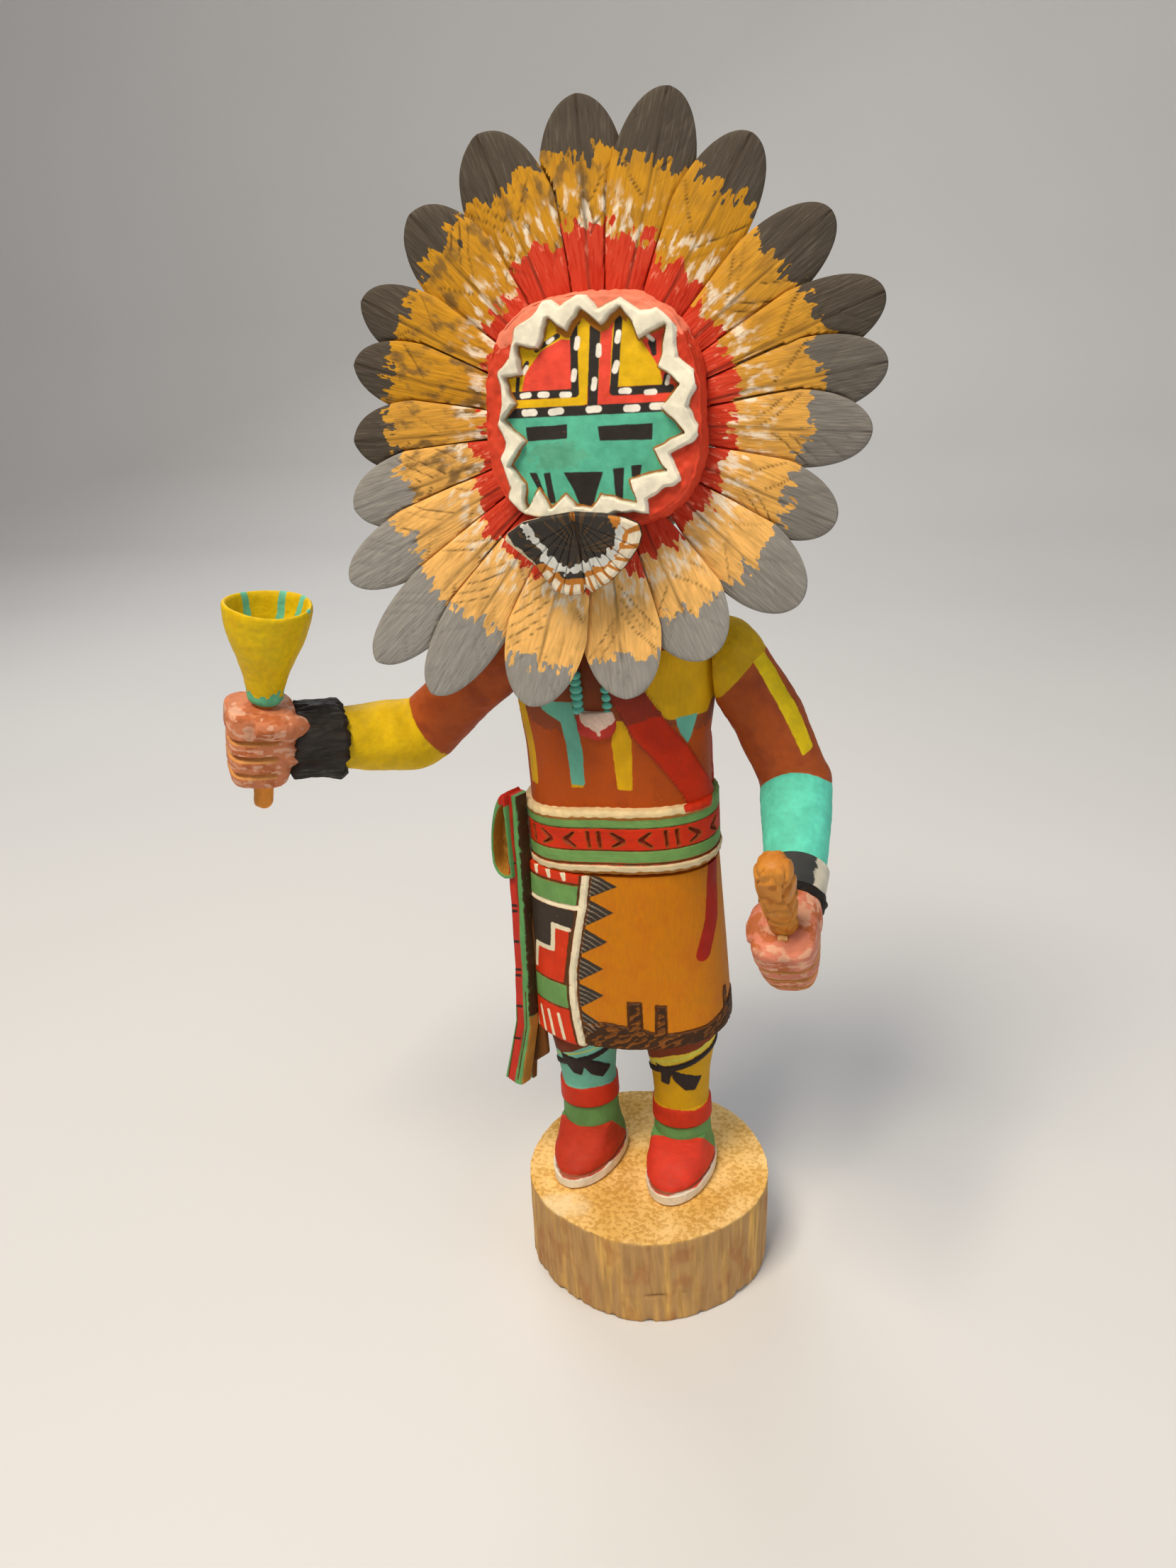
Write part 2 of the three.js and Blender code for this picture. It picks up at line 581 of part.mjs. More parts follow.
function armSolid(hand) {
  const matrix = gripMatrix(hand);
  const out = Math.sign(hand.shoulder[0]);
  const [sx, sy, sz] = hand.shoulder;
  const elbow = point(...hand.elbow);
  const wrist = point(hand.cuff.from, 0, 0).applyMatrix4(matrix);
  const mid = point(...hand.mid);
  const upper = limb([
    station([sx - out * 3, sy, sz], hand.upperRadius - 0.8),
    station([sx + out * 3, sy, sz - 0.5], hand.upperRadius),
    { at: mid, wide: hand.upperRadius, deep: hand.upperRadius },
    { at: elbow, wide: hand.elbowRadius - 0.6, deep: hand.elbowRadius - 0.8 },
    { at: elbow.clone().addScaledVector(elbow.clone().sub(mid).normalize(), 6), wide: 7.5, deep: 7.5 },
  ], point(0, 1, 0), 12);
  const toWrist = wrist.clone().sub(elbow).normalize();
  const forearm = limb([
    { at: elbow.clone().addScaledVector(toWrist, -9), wide: 6, deep: 6 },
    { at: elbow.clone().addScaledVector(toWrist, -5), wide: 10, deep: 10 },
    { at: elbow.clone().addScaledVector(toWrist, 3), wide: hand.elbowRadius, deep: hand.elbowRadius },
    { at: elbow.clone().lerp(wrist, 0.55), wide: hand.foreRadius, deep: hand.foreRadius },
    { at: wrist.clone().addScaledVector(toWrist, 2), wide: hand.wristRadius, deep: hand.wristRadius },
  ], point(0, 0, 1), 12);
  const { from, to, radius } = hand.cuff;
  const cuff = limb([
    station([from - 0.6, 0, 0], radius - 1.5),
    station([from + 1, 0, 0], radius),
    station([to, 0, 0], radius - 0.5),
    station([to + 1, 0, 0], radius - 2.5),
  ], point(0, 0, 1), 14).transform(matrix.toArray());
  const joint = out > 0 ? block([ARM_JOINT + CLEARANCE, -99, 0], [200, 99, 300]) : block([-200, -99, 0], [-ARM_JOINT - CLEARANCE, 99, 300]);
  const bore = new THREE.CylinderGeometry(hand.rod + CLEARANCE, hand.rod + CLEARANCE, 60, 10);
  bore.rotateX(Math.PI / 2);
  const fist = fistSolid(hand).scale(hand.fist).transform(matrix.toArray());
  const slot = toSolid(block([0, -1.6, 5.2], [hand.rod + 2.2, 1.6, 30])).transform(matrix.toArray());
  const arm = union([upper, forearm, cuff, fist])
    .intersect(toSolid(joint))
    .subtract(toSolid(bore).transform(matrix.toArray()));
  return hand.wedged ? arm.subtract(slot) : arm;
}
addPart(doll, "right_arm", toGeometry(armSolid(RIGHT)), 0xe0c21b, 0.6);
addPart(doll, "left_arm", toGeometry(armSolid(LEFT)), 0x46c7a6, 0.6);

// ---------------------------------------------------------------- flared cup on its stick, held upright in the right fist
const CUP = { sides: 18, stickEnd: -24.5, neck: 14.2, rim: 47.6, floor: 30 };
const cupProfile = [
  [0, CUP.stickEnd],
  [RIGHT.rod - 0.4, CUP.stickEnd],
  [RIGHT.rod, CUP.stickEnd + 0.8],
  [RIGHT.rod, CUP.neck],
  [5.4, CUP.neck],
  [5.7, 19],
  [7.2, 25],
  [9.4, 30.5],
  [12.4, 39],
  [13.5, 46],
  [13.1, CUP.rim],
  [11.8, CUP.rim],
  [10.6, 41.5],
  [7.8, 33.6],
  [4.2, CUP.floor + 0.6],
  [0, CUP.floor],
].map(([radius, height]) => new THREE.Vector2(radius, height));
const cup = new THREE.LatheGeometry(cupProfile, CUP.sides);
cup.rotateX(Math.PI / 2);
addPart(doll, "flared_cup", cup, 0xe6cf1f, 0.6).applyMatrix4(gripMatrix(RIGHT));

// ---------------------------------------------------------------- ear of corn in the left fist
const CORN = { end: -11, tip: 41.2, sides: 10 };
const corn = toSolid(toGeometry(limb([
  station([0, 0, CORN.end], 3.4),
  station([0, 0, CORN.end + 1], LEFT.rod),
  station([0, 0, 15], LEFT.rod),
  station([0, 0, 17.5], 4.3),
  station([0, 0, 31], 5.1),
  station([0, 0, 37], 4.8),
  station([0, 0, CORN.tip - 0.8], 3.7),
  station([0, 0, CORN.tip], 2.1),
], point(1, 0, 0), CORN.sides)));
addPart(doll, "corn_ear", toGeometry(corn), 0xb36a24, 0.7).applyMatrix4(gripMatrix(LEFT));

// A raw sliver of wood wedged beside the ear where it enters the fist.
const sliver = block([LEFT.rod + 0.35, -1.3, 5.5], [LEFT.rod + 1.9, 1.3, 13]);
addPart(doll, "grip_wedge", sliver, 0xd9a35c, 0.8).applyMatrix4(gripMatrix(LEFT));

// ---------------------------------------------------------------- side sash: one carved board, with its bow loop and back flap
const SASH = { x: -35.5, y: -7, top: 184, bottom: 74.5, half: 3.4, thick: 2.6, turn: 28 };
const across = point(Math.cos(radians(SASH.turn)), -Math.sin(radians(SASH.turn)), 0);
const behind = point(Math.sin(radians(SASH.turn)), Math.cos(radians(SASH.turn)), 0);
const sashStrip = limb([
  station([SASH.x + 2, SASH.y, SASH.top], SASH.half - 0.6, SASH.thick),
  station([SASH.x + 1, SASH.y, 160], SASH.half, SASH.thick),
  station([SASH.x - 0.5, SASH.y - 0.5, 120], SASH.half, SASH.thick),
  station([SASH.x - 2, SASH.y - 1, 98], SASH.half + 0.3, SASH.thick),
  station([SASH.x - 7.3, SASH.y - 2, SASH.bottom], SASH.half + 1, SASH.thick),
], across, 12, 5);

// The flap is a board hung behind the strip, cut aslant below so that its outer edge hangs lowest.
const flapShape = new THREE.Shape();
flapShape.moveTo(4, 158);
flapShape.lineTo(-3, 158);
flapShape.lineTo(-3.3, 118);
flapShape.lineTo(-4.6, 92);
flapShape.lineTo(-8, 71);
flapShape.lineTo(-3.6, 70);
flapShape.lineTo(-2.6, 78.5);
flapShape.lineTo(4.6, 85);
flapShape.lineTo(4.6, 110);
const flap = new THREE.ExtrudeGeometry(flapShape, { depth: 2.2, bevelEnabled: false });
flap.rotateX(Math.PI / 2);
flap.rotateZ(-radians(SASH.turn));
flap.translate(SASH.x - 0.5 + 2.8 * behind.x, SASH.y + 2.8 * behind.y, 0);

const keepOut = union([
  solidSkin([kiltRing(KILT.bottom - 0.6, 1.2), kiltRing(KILT.bottom + 8, 1.2), kiltRing(KILT.top, 1.2)]),
  ...LEGS.map(leg),
  solidSkin([beltRing(BELT.bottom - 3, 2.2), beltRing(BELT.top + 4, 2.2)]),
]);
function loopBoard(outline, depth, shift) {
  const [right, top, shoulder, left, bottom] = outline;
  const shape = new THREE.Shape();
  shape.moveTo(right, top);
  shape.bezierCurveTo(shoulder, top * 0.9, left, 0, left, bottom * 0.6);
  shape.bezierCurveTo(left, bottom * 0.8, left * 0.9, bottom, left * 0.3, bottom);
  shape.lineTo(right, bottom + 1);
  shape.lineTo(right, top);
  const board = new THREE.ExtrudeGeometry(shape, { depth, curveSegments: 3, bevelEnabled: false });
  board.rotateX(Math.PI / 2);
  board.translate(0, shift, 0);
  board.rotateZ(-radians(SASH.turn));
  board.translate(SASH.x, SASH.y, 171);
  return toSolid(board);
}
const bow = loopBoard([1, 14, -3, -7.6, -17], 8, 4).subtract(loopBoard([-2, 7, -3.4, -5.9, -14.6], 5, 0.9));
const sash = union([sashStrip, bow, toSolid(flap)]).subtract(keepOut)
  .decompose()
  .sort((a, b) => b.volume() - a.volume())[0];
addPart(doll, "side_sash", toGeometry(sash), 0x4b8f4b, 0.6);

export default doll;
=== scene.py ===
# A carved and painted wooden sun-face doll on its round wood base.
# Lengths are in millimetres until a mesh is made, and a paint field is the distance to a painted edge,
# negative inside it.
import math

import bmesh
import bpy
import numpy as np
from mathutils import Matrix, Vector


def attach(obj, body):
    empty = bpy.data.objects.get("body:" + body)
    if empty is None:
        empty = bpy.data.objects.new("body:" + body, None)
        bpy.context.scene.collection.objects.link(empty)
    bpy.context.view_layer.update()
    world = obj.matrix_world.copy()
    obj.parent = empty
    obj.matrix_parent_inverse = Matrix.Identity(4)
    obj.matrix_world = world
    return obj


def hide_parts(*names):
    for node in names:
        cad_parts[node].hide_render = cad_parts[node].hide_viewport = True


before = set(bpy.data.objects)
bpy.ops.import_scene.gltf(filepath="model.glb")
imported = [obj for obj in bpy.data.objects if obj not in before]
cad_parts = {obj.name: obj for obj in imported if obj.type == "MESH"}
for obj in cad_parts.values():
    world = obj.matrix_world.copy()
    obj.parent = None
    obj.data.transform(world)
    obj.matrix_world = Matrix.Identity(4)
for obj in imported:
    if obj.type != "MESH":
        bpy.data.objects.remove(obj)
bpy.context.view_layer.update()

# ------------------------------------------------------------------ camera
# A hand-held view from a little above the doll's head and to its left, looking down at it and tipped a
# few degrees.
MM = 0.001
camera_data = bpy.data.cameras.new("camera")
camera_data.sensor_width = 36
camera_data.lens = 27.34
camera = bpy.data.objects.new("camera", camera_data)
camera.location = Vector((84.2, -333.7, 333.0)) * MM
camera.rotation_euler = [math.radians(angle) for angle in (66.79, 4.15, 14.22)]
bpy.context.scene.collection.objects.link(camera)
bpy.context.scene.camera = camera

# ------------------------------------------------------------------ studio
# A pale paper sweep under soft square lamps: a warm one high in front, a cool one to the side and a
# weak one behind.
bpy.context.scene.view_settings.view_transform = "Standard"


def rgb(code):
    """Linear red, green, blue and one, from a hex paint colour."""
    channels = [int(code[i:i + 2], 16) / 255 for i in (1, 3, 5)]
    return tuple(c / 12.92 if c < 0.04045 else ((c + 0.055) / 1.055) ** 2.4 for c in channels) + (1.0,)


class Finish:
    """A procedural material; its methods add nodes and return their output sockets."""

    def __init__(self, name):
        self.material = bpy.data.materials.new(name)
        self.material.use_nodes = True
        self.tree = self.material.node_tree
        self.shader = self.tree.nodes["Principled BSDF"]
        self.shader.inputs["Specular IOR Level"].default_value = 0.2
        place = self.tree.nodes.new("ShaderNodeTexCoord").outputs["Object"]
        self.place = self.vector("SCALE", place, scale=1 / MM)

    def feed(self, socket, value):
        if isinstance(value, bpy.types.NodeSocket):
            self.tree.links.new(value, socket)
        elif isinstance(value, tuple):
            socket.default_value = value[:len(socket.default_value)]
        else:
            socket.default_value = value

    def vector(self, operation, a, b=None, scale=None):
        node = self.tree.nodes.new("ShaderNodeVectorMath")
        node.operation = operation
        self.feed(node.inputs[0], a)
        if b is not None:
            self.feed(node.inputs[1], b)
        if scale is not None:
            self.feed(node.inputs["Scale"], scale)
        return node.outputs["Vector"]

    def math(self, operation, a, b=0.0):
        node = self.tree.nodes.new("ShaderNodeMath")
        node.operation = operation
        self.feed(node.inputs[0], a)
        self.feed(node.inputs[1], b)
        return node.outputs[0]

    def field(self, name):
        node = self.tree.nodes.new("ShaderNodeAttribute")
        node.attribute_name = name
        return node.outputs["Fac"]

    def noise(self, size, stretch=(1, 1, 1), detail=2, seed=0, place=None):
        """Noise from 0 to 1 with lumps of that size; stretch lengthens them along each axis."""
        scale = tuple(1 / (size * s) for s in stretch)
        moved = self.vector("MULTIPLY", place or self.place, scale)
        moved = self.vector("ADD", moved, (seed * 7.3, seed * 3.1, seed * 5.7))
        node = self.tree.nodes.new("ShaderNodeTexNoise")
        node.inputs["Scale"].default_value = 1
        node.inputs["Detail"].default_value = detail
        self.feed(node.inputs["Vector"], moved)
        return node.outputs["Fac"]

    def span(self, value, low, high, out=(0.0, 1.0)):
        """The value's smooth rise from low to high, written between the two out values."""
        node = self.tree.nodes.new("ShaderNodeMapRange")
        node.interpolation_type = "SMOOTHSTEP"
        for socket, number in zip(list(node.inputs)[:5], (value, low, high, *out)):
            self.feed(socket, number)
        return node.outputs[0]

    def mix(self, share, under, over, blend="MIX"):
        node = self.tree.nodes.new("ShaderNodeMix")
        node.data_type = "RGBA"
        node.blend_type = blend
        for socket, value in zip((node.inputs[0], node.inputs[6], node.inputs[7]), (share, under, over)):
            self.feed(socket, value)
        return node.outputs[2]

    def inside(self, field, wobble=0.35, size=2.2, soft=0.18, seed=0):
        """One inside the painted edge and nothing outside it, with a brushed, uneven line."""
        edge = self.math("MULTIPLY_ADD", self.noise(size, seed=seed), 2 * wobble)
        edge.node.inputs[2].default_value = -wobble
        return self.span(self.math("ADD", self.field(field), edge), soft, -soft)

    def bump(self, height, depth):
        node = self.tree.nodes.new("ShaderNodeBump")
        node.inputs["Distance"].default_value = depth * MM
        self.feed(node.inputs["Height"], height)
        self.feed(self.shader.inputs["Normal"], node.outputs["Normal"])

    def done(self, colour, roughness):
        self.feed(self.shader.inputs["Base Color"], colour)
        self.feed(self.shader.inputs["Roughness"], roughness)
        return self.material


sweep = bmesh.new()
profile = [(-3, 0), (0.9, 0), (1.15, 0.02), (1.35, 0.1), (1.5, 0.3), (1.55, 0.6), (1.55, 3.5)]
edges = [[sweep.verts.new((side, y, z)) for y, z in profile] for side in (-4, 4)]
for k in range(len(profile) - 1):
    sweep.faces.new((edges[0][k], edges[1][k], edges[1][k + 1], edges[0][k + 1]))
sweep_mesh = bpy.data.meshes.new("paper_sweep")
sweep.to_mesh(sweep_mesh)
sweep.free()
paper = Finish("pale_paper")
fibres = paper.noise(6, detail=4)
paper.bump(fibres, 0.05)
paper_colour = paper.mix(paper.noise(300, detail=1), rgb("#d9dadb"), rgb("#e2e2e2"))
sweep_mesh.materials.append(paper.done(paper_colour, paper.span(fibres, 0.3, 0.7, (0.8, 0.95))))
for face in sweep_mesh.polygons:
    face.use_smooth = True
paper_sweep = bpy.data.objects.new("paper_sweep", sweep_mesh)
bpy.context.scene.collection.objects.link(paper_sweep)


def lamp(name, place, size, watts, colour):
    """A square soft lamp that faces the doll's chest."""
    data = bpy.data.lights.new(name, "AREA")
    data.size = size
    data.energy = watts
    data.color = rgb(colour)[:3]
    light = bpy.data.objects.new(name, data)
    light.location = place
    aim = Vector((0, 0, 0.2)) - Vector(place)
    light.rotation_euler = aim.to_track_quat("-Z", "Y").to_euler()
    bpy.context.scene.collection.objects.link(light)


lamp("key_lamp", (-0.2, -0.58, 1.3), 0.45, 16, "#fff1dc")
lamp("side_lamp", (1.1, -0.5, 0.6), 0.9, 3.5, "#eef4ff")
lamp("back_lamp", (-0.6, 0.9, 1.0), 0.8, 5, "#ffffff")
world = bpy.data.worlds.new("studio_air")
world.use_nodes = True
world.node_tree.nodes["Background"].inputs["Color"].default_value = rgb("#e6e8ec")
world.node_tree.nodes["Background"].inputs["Strength"].default_value = 0.27
bpy.context.scene.world = world

# ------------------------------------------------------------------ base
# A slice of dry cottonwood root, whittled to flats round its edge: end grain on top, long grain down
# the sides. Its lower edge is ragged, a chip is gone from the front left of the top, and a short drying
# crack is low in front.
BASE = {"radius": 41.8, "ovality": 1.7, "oval_angle": -10, "height": 36, "edge": 0.9, "slant": -1.5}
BASE_FLATS = 36
CHIP = {"at": (-30.5, -30.5, BASE["height"]), "half": 6, "rise": 3.6, "deep": 2.5, "bearing": -45,
        "slope": 35}
BASE_WOOD = {"light": "#fbd28a", "mid": "#eab862", "dark": "#b98844", "crack": "#7d5026", "side": "#bd9460",
             "side_dark": "#8f6d46", "red": "#a4613a", "curl": "#cf9a45", "raw": "#f6d9a4"}


def lumps(points, size, seed=0):
    """Smooth noise from -1 to 1 at the points, with lumps of that size."""
    place = np.asarray(points, float) / size
    cell = np.floor(place).astype(np.int64)
    share = place - cell
    share = share * share * (3 - 2 * share)
    total = np.zeros(place.shape[:-1])
    for corner in np.ndindex(2, 2, 2):
        key = ((cell + corner) * (73856093, 19349663, 83492791)).sum(axis=-1) + seed * 2654435
        key = (key ^ (key >> 13)) * 1274126177 & 0x7FFFFFFF
        weight = np.where(np.array(corner, bool), share, 1 - share).prod(axis=-1)
        total += weight * (key / 0x3FFFFFFF - 1)
    return total


def joined(x, y, z):
    """Points from their three parts."""
    return np.stack([x, y, z], axis=-1)


def smooth(value, low, high):
    """The value's smooth rise from nothing at low to one at high."""
    share = np.clip((np.asarray(value, float) - low) / (high - low), 0, 1)
    return share * share * (3 - 2 * share)


def skin(rings):
    """Points and faces of a closed skin over rings (rows, sides, 3), with a hub in the middle of each end."""
    rows, sides = rings.shape[:2]
    points = np.concatenate([rings.reshape(-1, 3), rings[[0, -1]].mean(axis=1)])
    side = np.arange(sides)
    following = np.roll(side, -1)
    start = (np.arange(rows - 1) * sides)[:, None]
    corners = (start + side, start + following, start + sides + following, start + sides + side)
    faces = np.stack(corners, axis=-1).reshape(-1, 4).tolist()
    hub = rows * sides
    last = hub - sides
    faces += [(b, a, hub) for a, b in zip(side.tolist(), following.tolist())]
    faces += [(a + last, b + last, hub + 1) for a, b in zip(side.tolist(), following.tolist())]
    return points, faces


def volume(points, faces):
    triangles = np.array([(f[0], f[k], f[k + 1]) for f in faces for k in range(1, len(f) - 1)])
    a, b, c = (points[triangles[:, k]] for k in range(3))
    return np.einsum("ij,ij->", a, np.cross(b, c)) / 6


def build(name, points, faces, fields=None, crease=40):
    """A mesh object in metres from points in millimetres, with outward faces and one attribute per field."""
    if volume(points, faces) < 0:
        faces = [face[::-1] for face in faces]
    mesh = bpy.data.meshes.new(name)
    mesh.from_pydata((np.asarray(points) * MM).tolist(), [], faces)
    for field, values in (fields or {}).items():
        attribute = mesh.attributes.new(field, "FLOAT", "POINT")
        attribute.data.foreach_set("value", np.asarray(values, np.float32).ravel())
    mesh.polygons.foreach_set("use_smooth", [True] * len(mesh.polygons))
    mesh.set_sharp_from_angle(angle=math.radians(crease))
    piece = bpy.data.objects.new(name, mesh)
    bpy.context.scene.collection.objects.link(piece)
    return piece


def carve(name, rings, fields, crease=40):
    """A mesh object over closed rings, with each field carried on to the two hubs."""
    carried = {key: np.concatenate([f.ravel(), f[[0, -1]].mean(axis=1)]) for key, f in fields.items()}
    return build(name, *skin(rings), carried, crease)


def settle(piece, material, slot, *nodes):
    """Gives a finished piece its material and its body, and hides the solids it stands for. The slot is not
    used.
    """
    piece.data.materials.clear()
    piece.data.materials.append(material)
    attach(piece, "root")
    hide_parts(*nodes)


def base_ring(z, inset, turn):
    shift = BASE["slant"] * (1 - z / BASE["height"])
    swell = BASE["ovality"] * np.cos(2 * (turn - math.radians(BASE["oval_angle"])))
    radius = BASE["radius"] + swell + 0.5 * np.cos(5 * turn + 1) - inset
    flat = 2 * math.pi / BASE_FLATS
    off_middle = (turn / flat) % 1 - 0.5
    radius = radius * math.cos(flat / 2) / np.cos(off_middle * flat)
    return joined(shift + radius * np.cos(turn), radius * np.sin(turn), np.full_like(turn, z))


base_turn = np.linspace(0, 2 * math.pi, 380, endpoint=False)
side_rows = [(z, 0.0) for z in np.linspace(1.2, BASE["height"] - BASE["edge"], 34)]
edge_rows = [(BASE["height"] - BASE["edge"] * (1 - math.sin(a)), BASE["edge"] * (1 - math.cos(a)))
             for a in np.linspace(0.3, math.pi / 2, 4)]
top_rows = [(BASE["height"], BASE["edge"] + inset) for inset in np.linspace(0.5, 40.5, 38)]
rows = [(0, 1.2), (0, 0.9), (0.35, 0.3)] + side_rows + edge_rows + top_rows
base_rings = np.array([base_ring(z, inset, base_turn) for z, inset in rows])
outward = np.stack([np.cos(base_turn), np.sin(base_turn), 0 * base_turn], axis=-1)
rings_z = base_rings[..., 2]
on_side = smooth(BASE["height"] - rings_z, 0.2, 1.2)
crack_z = 12.2 + 1.1 * lumps(outward * 20, 9) + 0.5 * lumps(outward * 20, 2)
crack_open = smooth(0.36 - np.abs(outward[:, 0] - 0.17) + 0.1 * lumps(outward * 20, 5, 3), 0, 0.12)
crack_open = crack_open * (outward[:, 1] < 0)
crack = np.clip(1 - np.abs(rings_z - crack_z) / 0.45, 0, 1) * crack_open
gouges = smooth(lumps(base_rings * (1, 1, 0.12), 2.6, 5), 0.35, 0.9)
torn = smooth(4 - rings_z, 0, 4) * smooth(lumps(base_rings * (1, 1, 0.3), 3.2, 8), 0.1, 0.8)
adzed = 1.2 + lumps(base_rings * (1, 1, 0.1), 1.1, 2)
sink = on_side * (0.75 * crack + 0.3 * gouges + 1.1 * torn + 0.12 * adzed)
base_rings = base_rings - outward * sink[..., None]
base_rings[..., 2] += torn * smooth(1.5 - rings_z, 0, 1.5) * 0.9
on_top = 1 - smooth(BASE["height"] - rings_z, 0, 0.2)
base_rings[..., 2] -= on_top * 0.12 * (2 + lumps(base_rings, 1.3, 4) + lumps(base_rings, 9, 6))
chip_frame = np.array(Matrix.Rotation(math.radians(CHIP["bearing"]), 3, "Z")
                      @ Matrix.Rotation(math.radians(CHIP["slope"]), 3, "X"))
in_chip = (base_rings - CHIP["at"]) @ chip_frame
chipped = (np.abs(in_chip[..., 0]) < CHIP["half"]) & (np.abs(in_chip[..., 1]) < CHIP["rise"])
chipped &= in_chip[..., 2] > -CHIP["deep"]
in_chip[..., 2] = np.where(chipped, -CHIP["deep"] + 0.25 * lumps(base_rings, 1.2, 9), in_chip[..., 2])
base_rings = in_chip @ chip_frame.T + CHIP["at"]
base_rings[..., 2] = np.clip(base_rings[..., 2], 0, BASE["height"])
raw_patch = smooth(1 - np.hypot((base_rings[..., 0] + 24) / 11, (base_rings[..., 1] + 27) / 7), 0, 0.4)
base_fields = {"crack": crack, "raw": chipped.astype(float), "side": on_side,
               "pale": raw_patch * (0.6 + 0.5 * lumps(base_rings, 3, 10)).clip(0, 1)}
wood_base = carve("wood_base", base_rings, base_fields, crease=50)

wood = Finish("cottonwood")
tint = {name: rgb(code) for name, code in BASE_WOOD.items()}
blotch = wood.noise(14, stretch=(1, 1, 2), detail=2, seed=3)
curls = wood.noise(1.5, detail=3, seed=5)
curls = wood.math("MULTIPLY", wood.span(curls, 0.46, 0.62), wood.span(blotch, 0.25, 0.6, (0.4, 0.8)))
top = wood.mix(wood.span(blotch, 0.3, 0.7), tint["light"], tint["mid"])
top = wood.mix(curls, top, tint["curl"])
top = wood.mix(wood.field("pale"), top, tint["raw"])
streaks = wood.noise(1.6, stretch=(1, 1, 9), detail=4, seed=1)
bands = wood.noise(4.5, stretch=(1, 1, 14), detail=2, seed=6)
fine = wood.noise(0.45, stretch=(1, 1, 14), detail=2, seed=2)
# The sides take the long-grain colours, painted darker than the top partly for the grain and partly as
# painted shade, the light falling from above.
side = wood.mix(wood.span(bands, 0.45, 0.75), tint["side"], tint["mid"])
side = wood.mix(wood.span(streaks, 0.35, 0.8, (0, 0.6)), side, tint["side_dark"])
side = wood.mix(wood.span(fine, 0.5, 0.8, (0, 0.3)), side, tint["dark"])
stain = wood.noise(7, stretch=(1, 1, 1.6), detail=2, seed=8)
side = wood.mix(wood.span(stain, 0.52, 0.7, (0, 0.45)), side, tint["red"])
colour = wood.mix(wood.field("side"), top, side)
colour = wood.mix(wood.math("MULTIPLY", wood.field("crack"), 0.35), colour, tint["crack"])
colour = wood.mix(wood.math("MULTIPLY", wood.field("raw"), 0.6), colour, tint["raw"])
wood.bump(wood.math("ADD", wood.mix(wood.field("side"), curls, streaks),
                    wood.math("MULTIPLY", fine, 0.6)), 0.25)
settle(wood_base, wood.done(colour, wood.span(streaks, 0.3, 0.7, (0.75, 0.9))), "base_wood", "base")

# ------------------------------------------------------------------ kilt
# Carved cottonwood root in flat earth paints, put on with a small brush. The hide kilt is ochre with a
# burnt hem, and a woven panel lies over its right side: red, green and black bands with a stepped white
# line, edged by a white stripe with hatched black triangles beside it.
BARE_WOOD = rgb("#d9a66a")
# Dark brown that the cut field lays on: painted shade in creases, grooves, hollows and under overhangs, and
# real dark marks such as the scorched hem.
GRIME_AND_SHADE = rgb("#2e1c10")
BODY_Y = 4
KILT = {"bottom": 96, "top": 160, "wide": 33.6, "deep": 21.5, "waist_wide": 31.4, "waist_deep": 19.5,
        "x": -2.6, "rise": 2.4, "side_seam": -66, "panel_proud": 0.9, "hem_proud": 0.45}


def read_off(stations, value):
    """The amounts that stations (at, amount, ...) give at the value, on straight lines between them."""
    at, *amounts = zip(*stations)
    read = [np.interp(value, at, amount) for amount in amounts]
    return read[0] if len(read) == 1 else read


def both(*fields):
    return np.maximum.reduce(fields)


def any_of(*fields):
    return np.minimum.reduce(fields)


def band(value, middle, half):
    """Distance to a stripe that reaches so far to each side of its middle."""
    return np.abs(value - middle) - half


def to_line(across, up, start, end):
    """Distance to a straight line, and the share of the line passed at its nearest point."""
    dx, dy = end - start
    share = np.clip(((across - start[0]) * dx + (up - start[1]) * dy) / (dx * dx + dy * dy), 0, 1)
    return np.hypot(across - start[0] - share * dx, up - start[1] - share * dy), share


def polygon(across, up, corners):
    """Distance to a closed outline, negative inside."""
    corners = np.asarray(corners, float)
    nearest = np.full(np.shape(across), np.inf)
    winding = np.zeros(np.shape(across), bool)
    for start, end in zip(corners, np.roll(corners, -1, axis=0)):
        nearest = np.minimum(nearest, to_line(across, up, start, end)[0])
        dx, dy = end - start
        crosses = (start[1] > up) != (end[1] > up)
        meets = start[0] + (up - start[1]) * dx / (dy if dy else 1e-9)
        winding ^= crosses & (across < meets)
    return np.where(winding, -nearest, nearest)


def stroke(across, up, path, width):
    """Distance to a brush line of that width along a path; a pair of widths tapers it."""
    start, end = (width, width) if np.isscalar(width) else width
    field = np.full(np.shape(across), np.inf)
    path = np.asarray(path, float)
    steps = len(path) - 1
    for k in range(steps):
        distance, share = to_line(across, up, path[k], path[k + 1])
        field = np.minimum(field, distance - 0.5 * (start + (end - start) * (k + share) / steps))
    return field


